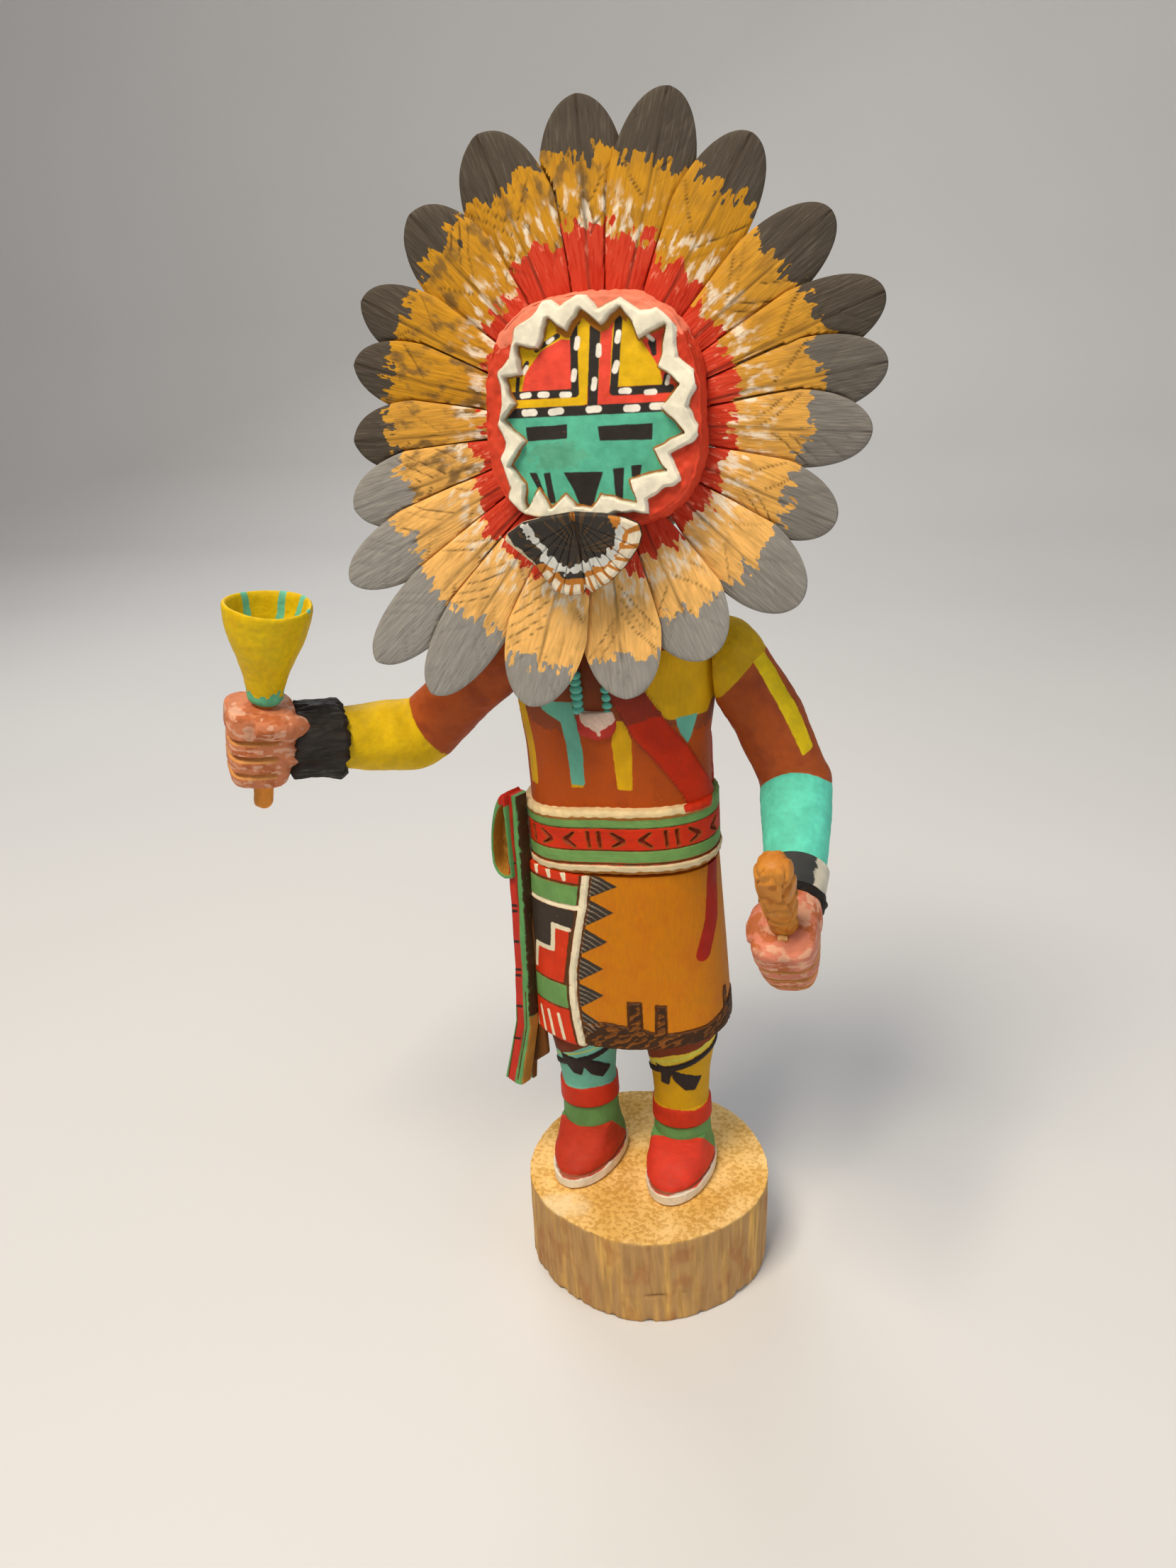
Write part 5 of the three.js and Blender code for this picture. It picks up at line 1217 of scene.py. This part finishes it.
wing_fields = {
    "orange": any_of(both(right_edge - 5.6 + brushed, on_right), low_edge - 4.5,
                     stroke(x, z, [(-5, -21), (-4.7, -23)], 1)),
    "grey": white_row,
    "scallop": any_of(both(right_edge - 3.2, on_right, -dividers), both(low_edge - 2.9, -dividers)),
    "cream": left_edge + 0.5 * brushed,
}
wing_fields = {name: np.where(front > 0.2, field, 9.0) for name, field in wing_fields.items()}
wing_fields["cream"] = np.where(depth < 2.0, -z - 30 + 9 * (x > -14), wing_fields["cream"])
wing_fields["cut"] = front * np.clip(-veins * 1.6, 0, 0.55)
ray = joined(10 * fan_angle, 0 * x, 0.35 * np.hypot(x - hub[0], z + 21))
wing_fields["brown"] = 1.6 - 3 * lumps(ray, 0.7, 43) - 0.6 * smooth(x, -9, -5)
depth = depth + front * (0.16 * lumps(joined(x, 0 * x, z), 3, 41) - 0.55 * smooth(-veins, 0, 0.35)
                         + 0.35 * smooth(-body, 0, 0.9) - 0.5 * smooth(1.0 + edge, 0, 1))
height = BUTTERFLY["height"] - (BUTTERFLY["z"] - z) * math.tan(BUTTERFLY["lean"])
wing_rings = joined(x, -(height + depth), z)
butterfly = carve("butterfly_wings", leaned(wing_rings), wing_fields, crease=50)
wing_paint = painted("wing_paint", "#37332f", [
    ("brown", "#57442f", 0.4), ("orange", "#c07a2e", 0.6), ("grey", "#d2d3cc", 0.9),
    ("scallop", "#e8dcc2", 0.3), ("cream", "#e2d2b0", 0.4)], streak=(1, 1, 4), worn=0.2, seed=120)
settle(butterfly, wing_paint, "butterfly_paint", "butterfly")

# ------------------------------------------------------------------ arms
# Each arm is carved from one stick and glued to the trunk: a round upper arm, a bent elbow and a
# tapering forearm. The right forearm is yellow and the left one turquoise, above red-brown upper arms.
RIGHT = {"shoulder": (-30.3, 4, 229.5), "mid": (-50, 6, 215), "elbow": (-69.2, 8, 197.3),
         "at": (-109.6, -22, 205.5), "along": (-0.79, -0.59, 0.16), "grip": (0.345, 0, 0.94), "palm": 1,
         "cuff": (-24, -9), "cuff_radius": 13, "upper": 10.6, "elbow_radius": 11.8, "fore": 11.2,
         "wrist": 9.4, "thumb": 9.6, "tall": 13.3, "size": 1}
LEFT = {"shoulder": (30.3, 4, 228), "mid": (44.5, 4.5, 208), "elbow": (53.5, 5, 185),
        "at": (55.7, -44.3, 157.1), "along": (0.01, -0.88, -0.47), "grip": (-0.06, -0.47, 0.88), "palm": -1,
        "cuff": (-26, -13), "cuff_radius": 9.7, "upper": 10.8, "elbow_radius": 11, "fore": 10,
        "wrist": 8.6, "thumb": 8.2, "tall": 12.6, "size": 0.93}
HANDS = {"right": RIGHT, "left": LEFT}


def unit(vector):
    vector = np.asarray(vector, float)
    return vector / np.linalg.norm(vector)


def hand_place(hand, local):
    """Points about the grip, +X on from the forearm, +Y the palm side, +Z up the held rod, put in place."""
    ahead = unit(hand["along"])
    up = np.asarray(hand["grip"], float)
    up = unit(up - ahead * up.dot(ahead))
    side = np.cross(up, ahead) * hand["palm"]
    return np.asarray(local, float) @ np.array([ahead, side, up]) + np.array(hand["at"])


def eased(values, reach, times):
    """Values each averaged with so many neighbours on both sides, with the ends left as they are."""
    kernel = np.ones(2 * reach + 1) / (2 * reach + 1)
    for _ in range(times):
        values = np.concatenate([values[:reach], np.convolve(values, kernel, "valid"), values[-reach:]])
    return values


def limb(stations, side, sides=56, pitch=0.6):
    """Rings round a path of stations (point, radius), square to the path."""
    places = np.array([station[0] for station in stations], float)
    radii = np.array([station[1] for station in stations], float)
    run = run_along(*places.T)
    way = np.linspace(0, run[-1], max(int(run[-1] / pitch), 8))
    soft = max(int(1.6 / pitch), 1)
    path = joined(*(eased(np.interp(way, run, part), soft, 3) for part in places.T))
    radius = eased(np.interp(way, run, radii), soft, 3)
    tangent = np.gradient(path, axis=0)
    tangent /= np.linalg.norm(tangent, axis=1, keepdims=True)
    across = side - tangent * (tangent @ np.asarray(side, float))[:, None]
    across /= np.linalg.norm(across, axis=1, keepdims=True)
    third = np.cross(tangent, across)
    turn = np.linspace(0, 2 * math.pi, sides, endpoint=False)
    c, s = np.cos(turn), np.sin(turn)
    spokes = across[:, None] * c[:, None] + third[:, None] * s[:, None]
    return path[:, None] + radius[:, None, None] * spokes


def fused(skins, voxel):
    """One closed mesh over several overlapping skins: its points, faces and point normals."""
    points, faces, start = [], [], 0
    for skin_points, skin_faces in skins:
        points.append(skin_points)
        turned_round = volume(skin_points, skin_faces) < 0
        faces += [[k + start for k in (face[::-1] if turned_round else face)] for face in skin_faces]
        start += len(skin_points)
    mesh = bpy.data.meshes.new("blank")
    mesh.from_pydata(np.concatenate(points).tolist(), [], faces)
    blank = bpy.data.objects.new("blank", mesh)
    bpy.context.scene.collection.objects.link(blank)
    remesh = blank.modifiers.new("fuse", "REMESH")
    remesh.mode = "VOXEL"
    remesh.voxel_size = voxel
    whole = bpy.data.meshes.new_from_object(blank.evaluated_get(bpy.context.evaluated_depsgraph_get()))
    points = np.zeros(len(whole.vertices) * 3)
    whole.vertices.foreach_get("co", points)
    normal = np.zeros(len(whole.vertices) * 3, np.float32)
    whole.vertices.foreach_get("normal", normal)
    faces = [tuple(polygon.vertices) for polygon in whole.polygons]
    for leftover in (mesh, whole):
        bpy.data.meshes.remove(leftover)
    return points.reshape(-1, 3), faces, normal.reshape(-1, 3).astype(float)


for name, hand in HANDS.items():
    out = np.sign(hand["shoulder"][0])
    shoulder, mid, elbow = (np.array(hand[key], float) for key in ("shoulder", "mid", "elbow"))
    wrist = hand_place(hand, (hand["cuff"][0], 0, 0))
    fore = unit(wrist - elbow)
    upper_arm = limb([(shoulder, hand["upper"] - 0.6), (shoulder + (3 * out, 0, -0.8), hand["upper"]),
                      (mid, hand["upper"]), (elbow, hand["elbow_radius"] - 0.7),
                      (elbow + unit(elbow - mid) * 6, 7.5)], (0, 1, 0))
    forearm = limb([(elbow - fore * 9, 6), (elbow - fore * 5, 10), (elbow + fore * 2, hand["elbow_radius"]),
                    (elbow + (wrist - elbow) * 0.45, hand["fore"] + 0.5),
                    (wrist + fore * 4, hand["wrist"])], (0, 0, 1))
    points, faces, normal = fused([skin(upper_arm), skin(forearm)], 0.8)
    facets = 0.3 * lumps(points, 7, 51) + 0.12 * lumps(points, 2.2, 53) + 0.07 * lumps(points, 1.1, 52)
    points = points + normal * facets[:, None]
    points[:, 0] = out * np.maximum(out * points[:, 0], SHOULDER_CUT + 0.3)
    x, y, z = points.T
    if name == "right":
        bend = elbow + fore * 2.5
        along = np.clip((points - bend) @ fore, 0, None)
        from_axis = np.linalg.norm(points - bend - along[:, None] * fore, axis=1)
        fields = {"forearm": from_axis - 12.9, "stripe": 9 + 0 * x, "patch": 9 + 0 * x}
    else:
        axis = unit(elbow - shoulder)
        outward_side = unit((0.713, -0.593, 0.375))
        from_top = (points - shoulder) @ axis
        around = hand["upper"] * np.arctan2((points - shoulder) @ np.cross(axis, outward_side),
                                            (points - shoulder) @ outward_side)
        stripe = both(np.abs(around + 2.2 - 0.03 * from_top) - 2.5, from_top - 39)
        fields = {"forearm": z - 193.2 + 0.035 * (x - 55) ** 2 + 0.44 * (y + 6),
                  "stripe": stripe, "patch": from_top - 6.5 - 0.35 * np.clip(around, 0, 14)}
    piece = build(f"{name}_arm_skin", points, faces, fields, crease=60)
    # The left arm's stripe is a real yellow stripe, painted a brighter yellow than the shoulder patch as
    # painted light where the light falls on it.
    paint = painted(f"{name}_arm_paint", "#b2531f", [
        ("stripe", "#e6c60a"), ("patch", "#cda208"),
        ("forearm", "#d8b206" if name == "right" else "#62d3b8", 0.25)],
                    streak=(2, 2, 2), worn=0.12, tone=0.07, shade="#8f3f1c",
                    seed=140 if name == "right" else 150)
    settle(piece, paint, "arm_paint", f"{name}_arm")

# ------------------------------------------------------------------ cuffs
# On the right wrist a thick black fur cuff, cut in ragged strands; on the left a smooth dark wristlet
# with a bare white patch on its outer side and a twisted black cord at the hand.
for name, hand in HANDS.items():
    start, end = hand["cuff"]
    radius = hand["cuff_radius"]
    along_rows = np.concatenate([[start - 0.6, start - 0.3], np.linspace(start, end, 44),
                                 [end + 0.5, end + 1]])
    turn, along = turn_grid(210, along_rows)
    profile = np.interp(along, [start - 0.6, start + 1, end, end + 1],
                        [radius - 1.5, radius + 0.2, radius - 1, radius - 3])
    round_cell = joined(along * 0, radius * np.cos(turn), radius * np.sin(turn))
    if name == "right":
        strands = lumps(round_cell + along[..., None] * (0.12, 0.05, 0), 1.5, 61)
        locks = lumps(round_cell + along[..., None] * (0.5, 0.1, 0), 4.2, 62)
        hairs = lumps(round_cell * 1.6 + along[..., None] * 0.3, 0.9, 63)
        profile = profile + 0.7 * strands + 0.8 * locks - 0.5 + 0.3 * hairs
        ragged_end = 2 * lumps(round_cell, 3, 64) + 1.2 * lumps(round_cell, 1.3, 65)
        middle = (start + end) / 2
        along = middle + (along - middle) * (1 + 0.12 * ragged_end / 2)
        # Painted shade: the cut field darkens the valleys between the strands.
        fields = {"cut": 0.5 * smooth(-strands, 0.25, 0.8), "white": 9 + 0 * along, "cord": 9 + 0 * along}
    else:
        cord_x = end - 1.2
        over_cord = np.clip(1 - ((along - cord_x) / 1.6) ** 2, 0, 1) ** 0.5
        profile = profile + 0.9 * over_cord + 0.25 * over_cord * np.sin(9 * turn + along * 2.4)
        # Painted shade: the cut field darkens the twists of the cord.
        fields = {"cut": 0.4 * over_cord * (np.sin(9 * turn + along * 2.4) < -0.5),
                  "cord": band(along, cord_x, 1.7), "white": 9 + 0 * along}
    local = joined(along, profile * np.cos(turn), profile * np.sin(turn))
    rings = hand_place(hand, local)
    if name == "left":
        outer = unit((0.93, -0.3, 0.15))
        spokes = rings - rings.mean(axis=1, keepdims=True)
        facing = (spokes @ outer) / np.linalg.norm(spokes, axis=-1)
        fields["white"] = both(0.84 - facing, along - cord_x - 1) * 8
    piece = carve(f"{name}_cuff", rings, fields, crease=70)
    paint = painted(f"{name}_cuff_paint", "#2b2724" if name == "right" else "#3a3c3b", [
        ("white", "#c9c3b0", 0.8), ("cord", "#1d1a18", 0.2)], streak=(4, 4, 4), worn=0.12, seed=160)
    settle(piece, paint, "arm_paint", f"{name}_arm")

# ------------------------------------------------------------------ fists
# Squared fists with four shingled fingers: each has a bare, slanting upper face and a pink knuckle face
# that overhangs the next. The thumb closes over the top finger.
FIST = {"back": -9, "front": 11.8, "half": 9.5, "fingers": 4, "lap": 2.5}


def finger_at(up, tall):
    """The finger a height falls on, counted from the lowest, and how far down that finger it is."""
    finger = np.clip((up + tall) / (2 * tall - 2) * FIST["fingers"], 0, FIST["fingers"] - 1e-6)
    return finger, 1 - finger % 1


for name, hand in HANDS.items():
    tall = hand["tall"]
    turn, up = turn_grid(260, np.linspace(-tall, tall, 150))
    foot = 0.72 if name == "right" else 0.6
    share = np.interp(up, [-tall, -tall + 1, -tall + 6, -tall + 13, tall - 1.6, tall - 0.6, tall],
                      [foot, foot + 0.1, (foot + 1) / 2 + 0.08, 1, 1, 0.96, 0.9])
    middle, long = (FIST["back"] + FIST["front"]) / 2, (FIST["front"] - FIST["back"]) / 2
    ahead, aside = squared(turn, 2 / 3.4)
    x, y = middle + long * share * ahead, FIST["half"] * share * aside
    finger, down_finger = finger_at(up, tall)
    top_finger = finger > FIST["fingers"] - 1
    shingle = np.where(top_finger, 0, -FIST["lap"] * (1 - smooth(down_finger, 0.0, 0.3)))
    shingle -= FIST["lap"] * smooth(down_finger, 0.95, 0.995) * (finger > 0.97)
    on_fingers = smooth(x, -3.6, -2.6) * smooth(y, -9.6, -6.5) ** 0.6
    spread = 1 + on_fingers * (shingle + 0.35 * np.sin(np.floor(finger) * 2.3 + 1)) / 10.4
    rows = joined(middle + (x - middle) * spread, y * spread, up)
    thumb = hand["thumb"]
    thumb_limb = limb([((-12, thumb - 6, tall - 6.5), 3.3), ((-6, thumb - 1.8, tall - 4.4), 4.1),
                       ((0, thumb, tall - 3.4), 4), ((4.5, thumb, tall - 3.6), 2.8)], (0, 0, 1), 40, 0.5)
    heel = limb([((-15, 0, 1), 8.5), ((-9, 0, 1), 10), ((-4, 0, 1), 9)], (0, 0, 1), 60, 0.5)
    points, faces, normal = fused([skin(rows), skin(thumb_limb), skin(heel)], 0.42)
    points = points + normal * (0.2 * lumps(points, 3.5, 71) + 0.1 * lumps(points, 1.1, 72))[:, None]
    finger, down_finger = finger_at(points[:, 2], tall)
    fingered = smooth(points[:, 0], -3.4, -2.4) * (finger < FIST["fingers"] - 1)
    # Painted shade: the cut field darkens the gap under each overhanging finger.
    gap = fingered * smooth(np.abs(down_finger - 0.5), 0.46, 0.5)
    fields = {"bare": np.where(fingered > 0.5, (down_finger - 0.3) * 6, 9), "cut": 0.7 * gap,
              "scumble": 0.3 - lumps(points * (0.5, 0.5, 1.6), 1.5, 73),
              "brown": 0.35 - lumps(points, 4.5, 74)}
    piece = build(f"{name}_fist", hand_place(hand, points * hand["size"]), faces, fields, crease=50)
    paint = painted(f"{name}_fist_paint", "#c97c55" if name == "right" else "#cf7e64", [
        ("brown", "#b8663c", 1.2), ("scumble", "#d8a183", 0.9), ("bare", "#cf9050", 0.3)],
                    streak=(3, 3, 3), worn=0.5, seed=170)
    settle(piece, paint, "arm_paint", f"{name}_arm")

# ------------------------------------------------------------------ flared cup
# A turned cup on a thick stick, painted bright yellow outside and in, with turquoise stripes down its
# inner wall and a patchy turquoise collar. The stick's lower end is bare varnished wood.
CUP_PROFILE = [(0.3, -24.5), (2.3, -24.5), (2.9, -24.2), (3.15, -23.5), (3.15, 13.6), (3.3, 14.2),
               (5.3, 14.2), (5.6, 14.8), (5.7, 19), (7.2, 25), (9.4, 30.5), (12.4, 39), (13.5, 46),
               (13.35, 47.2), (12.8, 47.6), (12.1, 47.4), (11.7, 46.8), (10.6, 41.5), (7.8, 33.6),
               (6.4, 31.4), (4.2, 30.6), (0.3, 30)]
profile = np.array(CUP_PROFILE).T
run = run_along(*profile)
way = np.linspace(0, run[-1], 150)
radius, lift = (eased(np.interp(way, run, part), 2, 2) for part in profile)
inside_from = run[15]
turn, row_way = turn_grid(130, way)
radius, lift = radius[:, None] + 0 * turn, lift[:, None] + 0 * turn
local = joined(radius * np.cos(turn), radius * np.sin(turn), lift)
knife = 0.22 * lumps(local, 5, 81) + 0.1 * lumps(local, 1.4, 82)
radius = radius + np.clip(radius / 4, 0, 1) * knife
lift = lift + 0.5 * np.sin(turn * 2 + 1) * smooth(lift, 40, 47)
lift = lift + smooth(-lift, 22, 24) * 0.8 * lumps(local, 3, 83)
pressed = 1 - 0.18 * smooth(lift, 18, 44)
local = joined(radius * np.cos(turn), radius * pressed * np.sin(turn), lift)
stripes = any_of(*(np.abs(np.mod(turn * 180 / math.pi - angle + 180, 360) - 180) * radius / 57.3 - 1.2
                   for angle in (-63, -120, -157, 150, 105, 60, 15)))
rings = hand_place(RIGHT, local)
near_rim = 9 * (rings[..., 1] < RIGHT["at"][1] - 4) * (lift > 43)
# The cut field darkens the step where the stick meets the collar as painted shade.
fields = {"stripe": both(stripes, inside_from - 2.4 - row_way) + near_rim,
          "collar": both(lift - 18.8 + lumps(local, 2, 84), row_way - run[9]),
          "stick": lift - 14.4, "cut": 0.3 * smooth(0.5 - np.abs(lift - 14.3), 0, 0.4)}
cup = carve("yellow_cup", rings, fields, crease=50)
cup_paint = painted("cup_paint", "#e3c008", [
    ("collar", "#5fb78e", 3.4), ("stripe", "#6cc0a4", 0.5), ("stick", "#d98a33", 0.2)],
                    streak=(2, 2, 2), worn=0.12, matt=(0.45, 0.65), shade="#d0a806", seed=180)
settle(cup, cup_paint, "cup_paint", "flared_cup")

# ------------------------------------------------------------------ ear of corn
# An ear of corn whittled from a stick, its husk cut in lapped scales, stained orange-brown and left
# half shiny.
corn_stations = [(-11, 3), (-10.4, 3.9), (15, 4), (17.5, 4.4), (31, 5.2), (37, 4.9), (39.6, 4.1), (40.8, 2.9),
                 (41.2, 1.8)]
turn, lift = turn_grid(104, np.linspace(-11, 41.2, 140))
radius = read_off(corn_stations, lift)
column = turn / (2 * math.pi) * 4 + 0.15 * np.sin(lift * 0.35) + 0.4
within = np.abs(column % 1 - 0.5) * 2
wander = 0.35 * lumps(joined(4 * np.cos(turn), 4 * np.sin(turn), lift), 4, 92)
scale_phase = lift / 5.8 - 0.5 * (1 - within) + 0.5 * (np.floor(column) % 2) + wander
down_scale = scale_phase % 1
lapped = smooth(down_scale, 0, 0.7) - smooth(down_scale, 0.8, 1)
on_ear = smooth(lift, 12, 15) * (1 - smooth(lift, 39.8, 41))
scale_edge = on_ear * np.maximum(smooth(np.abs(down_scale - 0.5), 0.44, 0.5),
                                 0.5 * smooth(within, 0.88, 0.99))
radius = radius + on_ear * (0.6 * lapped - 0.3 - 0.15 * smooth(within, 0.8, 1)) * np.clip(radius / 4, 0, 1)
local = joined(radius * np.cos(turn), radius * np.sin(turn), lift)
local = local + unit((1, 0.4, 0)) * (0.35 * np.sin(lift * 0.11))[..., None]
# The cut field darkens the edges between the lapped scales as painted shade.
fields = {"cut": 0.25 * scale_edge, "dark": 0.6 - lumps(local, 3, 93)}
corn = carve("corn_ear_carving", hand_place(LEFT, local), fields, crease=60)
corn_paint = painted("corn_stain", "#d98f38", [("dark", "#b87026", 1)], streak=(2, 2, 8), worn=0.3,
                     matt=(0.35, 0.55), shade="#b87228", seed=190)
settle(corn, corn_paint, "corn_wood", "corn_ear")

# A sliver of raw wood, split square and wedged into the fist beside the ear.
wedge_low, wedge_high = np.array([4.35, -1.3, 5.5]), np.array([5.9, 1.3, 13])
turn, lift = turn_grid(60, np.linspace(0, 1, 26))
half = (wedge_high - wedge_low) / 2
centre = (wedge_high + wedge_low) / 2
square = squared(turn, 0.3)
local = joined(centre[0] + half[0] * square[0] * (1 - 0.12 * lift), centre[1] + half[1] * square[1],
               wedge_low[2] + (wedge_high[2] - wedge_low[2]) * lift)
local[..., 2] += smooth(lift, 0.85, 1) * 0.5 * (lumps(local, 1.2, 91) - 1)
wedge = carve("raw_wedge", hand_place(LEFT, local), {"cut": 0 * lift})
settle(wedge, painted("raw_wood", "#dfb071", [], streak=(1, 1, 10), seed=195), "wedge_wood", "grip_wedge")

# ------------------------------------------------------------------ side sash
# One long board hung from the belt at the right side: a red strip with black marks beside a green one
# with cut edges. It has a bow loop at the waist, hollowed and left raw inside, and a brown flap behind.
SASH = {"x": -35.5, "y": -7, "top": 184, "bottom": 74.5, "thick": 2.6, "turn": math.radians(28)}
SASH_PAINT = {"red": "#c02c1a", "green": "#5f9a5b"}


def hung(place, across, behind, up):
    """Points of the sash from their distance along its face, behind it and up."""
    c, s = math.cos(SASH["turn"]), math.sin(SASH["turn"])
    return joined(place[0] + across * c + behind * s, place[1] - across * s + behind * c, place[2] + up)


STRIP = [(SASH["bottom"], -7.3, -2, 4.4), (98, -2, -1, 3.7), (120, -0.5, -0.5, 3.4), (160, 1, 0, 3.4),
         (SASH["top"], 2, 0, 2.8)]  # height, how far the strip's middle has moved by there, half its width
turn, up = turn_grid(96, np.linspace(SASH["bottom"], SASH["top"], 160))
moved_x, moved_y, half = read_off(STRIP, up)
side, face = squared(turn, 0.4)
s = side * half
groove = any_of(np.abs(s - (0.8 + 0.3 * np.sin(up * 0.09))) - 0.3,
                both(band(s, 2.2, 0.22), up - 112, 76 - up), both(np.abs(s + 2.7) - 0.22, up - 104))
in_front = face < 0
thick = SASH["thick"] - in_front * 0.55 * smooth(-groove, -0.2, 0.25)
thick = thick + 0.2 * lumps(joined(s, face, up), 6, 95) + 0.35 * in_front * smooth(s, -0.4, 0.4)
rings = hung((SASH["x"] + moved_x, SASH["y"] + moved_y, 0), s, face * thick, up)
marks = any_of(*(stroke(s, up, [(-3.6, z), (0.4, z + 1.4)], 1)
                 for z in (158.5, 143, 141, 129.5, 118.5, 116.3, 104, 91)))
# Painted shadow: the strip's side edge is painted dark brown above z 102, in shade beside the kilt, and raw
# tan below. The cut field darkens the carved grooves as painted shade.
edge_side = 0.9 * half - s
fields = {"green": 1 - s, "left_green": both(s + 2.8, up - 104), "tan": both(edge_side, up - 102),
          "marks": marks, "dark": both(edge_side, 102 - up), "line": groove,
          "cut": in_front * 0.6 * smooth(-groove, -0.1, 0.2)}
strip = carve("sash_strip", rings, fields, crease=60)
strip_paint = painted("sash_paint", SASH_PAINT["red"], [
    ("green", SASH_PAINT["green"], 0.25), ("left_green", SASH_PAINT["green"], 0.25), ("marks", "#2a1e17"),
    ("tan", "#a8752f", 0.5), ("dark", "#3f2812", 0.5), ("line", "#7a4a1c", 0.2)], seed=200)
settle(strip, strip_paint, "sash_paint", "side_sash")


def bezier(a, b, c, d, count=18):
    t = np.linspace(0, 1, count, endpoint=False)[:, None]
    a, b, c, d = (np.array(p, float) for p in (a, b, c, d))
    return ((1 - t) ** 3 * a + 3 * (1 - t) ** 2 * t * b + 3 * (1 - t) * t ** 2 * c + t ** 3 * d).tolist()


def loop_outline(right, top, shoulder, left, bottom):
    """The bow's outline: a straight inner side and a full outer curve that hangs to a round foot."""
    upper = bezier((right, top), (shoulder, top * 0.9), (left, 0), (left, bottom * 0.6))
    foot = bezier((left, bottom * 0.6), (left, bottom * 0.8), (left * 0.9, bottom), (left * 0.3, bottom))
    return upper + foot + [(left * 0.3, bottom), (right, bottom + 1)]


bearing = np.linspace(0, 2 * math.pi, 200, endpoint=False)
hub = (-3.6, -4.5)
outer = rim_reach(loop_outline(1, 14, -3, -7.6, -17), hub, bearing, 24, 900)
inner = rim_reach(loop_outline(0.4, 10.4, -2.7, -6.8, -16), hub, bearing, 24, 900)
rows = [(4, share * outer) for share in (0.25, 0.6, 0.97)] + [(y, outer) for y in np.linspace(3.6, -3.7, 22)]
rows += [(-4 + 0.3 * abs(1 - 2 * t), outer + (inner - outer) * t) for t in np.linspace(0.04, 1, 12)]
rows += [(y, inner * 0.99) for y in np.linspace(-3.4, 0.5, 12)]
rows += [(0.9, inner * share) for share in np.linspace(0.95, 0.05, 14)]
depth, reach = spread_rows(rows, bearing)
x, z = hub[0] + reach * np.sin(bearing), hub[1] + reach * np.cos(bearing)
row_number = np.arange(len(rows))[:, None] + 0 * bearing
on_face, hollow = row_number >= 25, row_number >= 37
local_noise = joined(x, depth, z)
depth = depth + on_face * 0.25 * lumps(local_noise, 2.5, 97) + hollow * 0.5 * lumps(local_noise, 1.4, 98)
rings = hung((SASH["x"], SASH["y"], 171), x, depth, z)
# The cut field darkens the hollow inside the loop as painted shade.
fields = {"raw": np.where(hollow, -1.0, 1.0), "red": both(9.5 - z, -1.6 - x), "cut": 0.15 * hollow}
bow = carve("sash_bow", rings, fields, crease=60)
bow_paint = painted("bow_paint", SASH_PAINT["green"], [
    ("red", SASH_PAINT["red"], 0.6), ("raw", "#b9842f", 0.3)], worn=0.6, seed=210)
settle(bow, bow_paint, "sash_paint", "side_sash")

turn, up = turn_grid(56, np.linspace(71, 158, 90))
left = np.interp(up, [71, 92, 118, 158], [-8, -4.6, -3.3, -3])
right = np.interp(up, [71, 72, 78.5, 85, 110, 158], [-3.8, -3.6, -2.6, 4.6, 4.6, 4])
side, face = squared(turn, 0.35)
s = (left + right) / 2 + side * (right - left) / 2
depth = 1.7 + 1.1 * face + 0.15 * lumps(joined(s, 0 * s, up), 5, 99)
rings = hung((SASH["x"] - 0.5, SASH["y"], 0), s, depth, up)
flap = carve("sash_flap", rings, {"green": s + 4.2 + 99 * (up > 110), "cut": 0 * s}, crease=60)
flap_paint = painted("flap_paint", "#6b4016", [("green", SASH_PAINT["green"], 0.3)], seed=220)
settle(flap, flap_paint, "sash_paint", "side_sash")
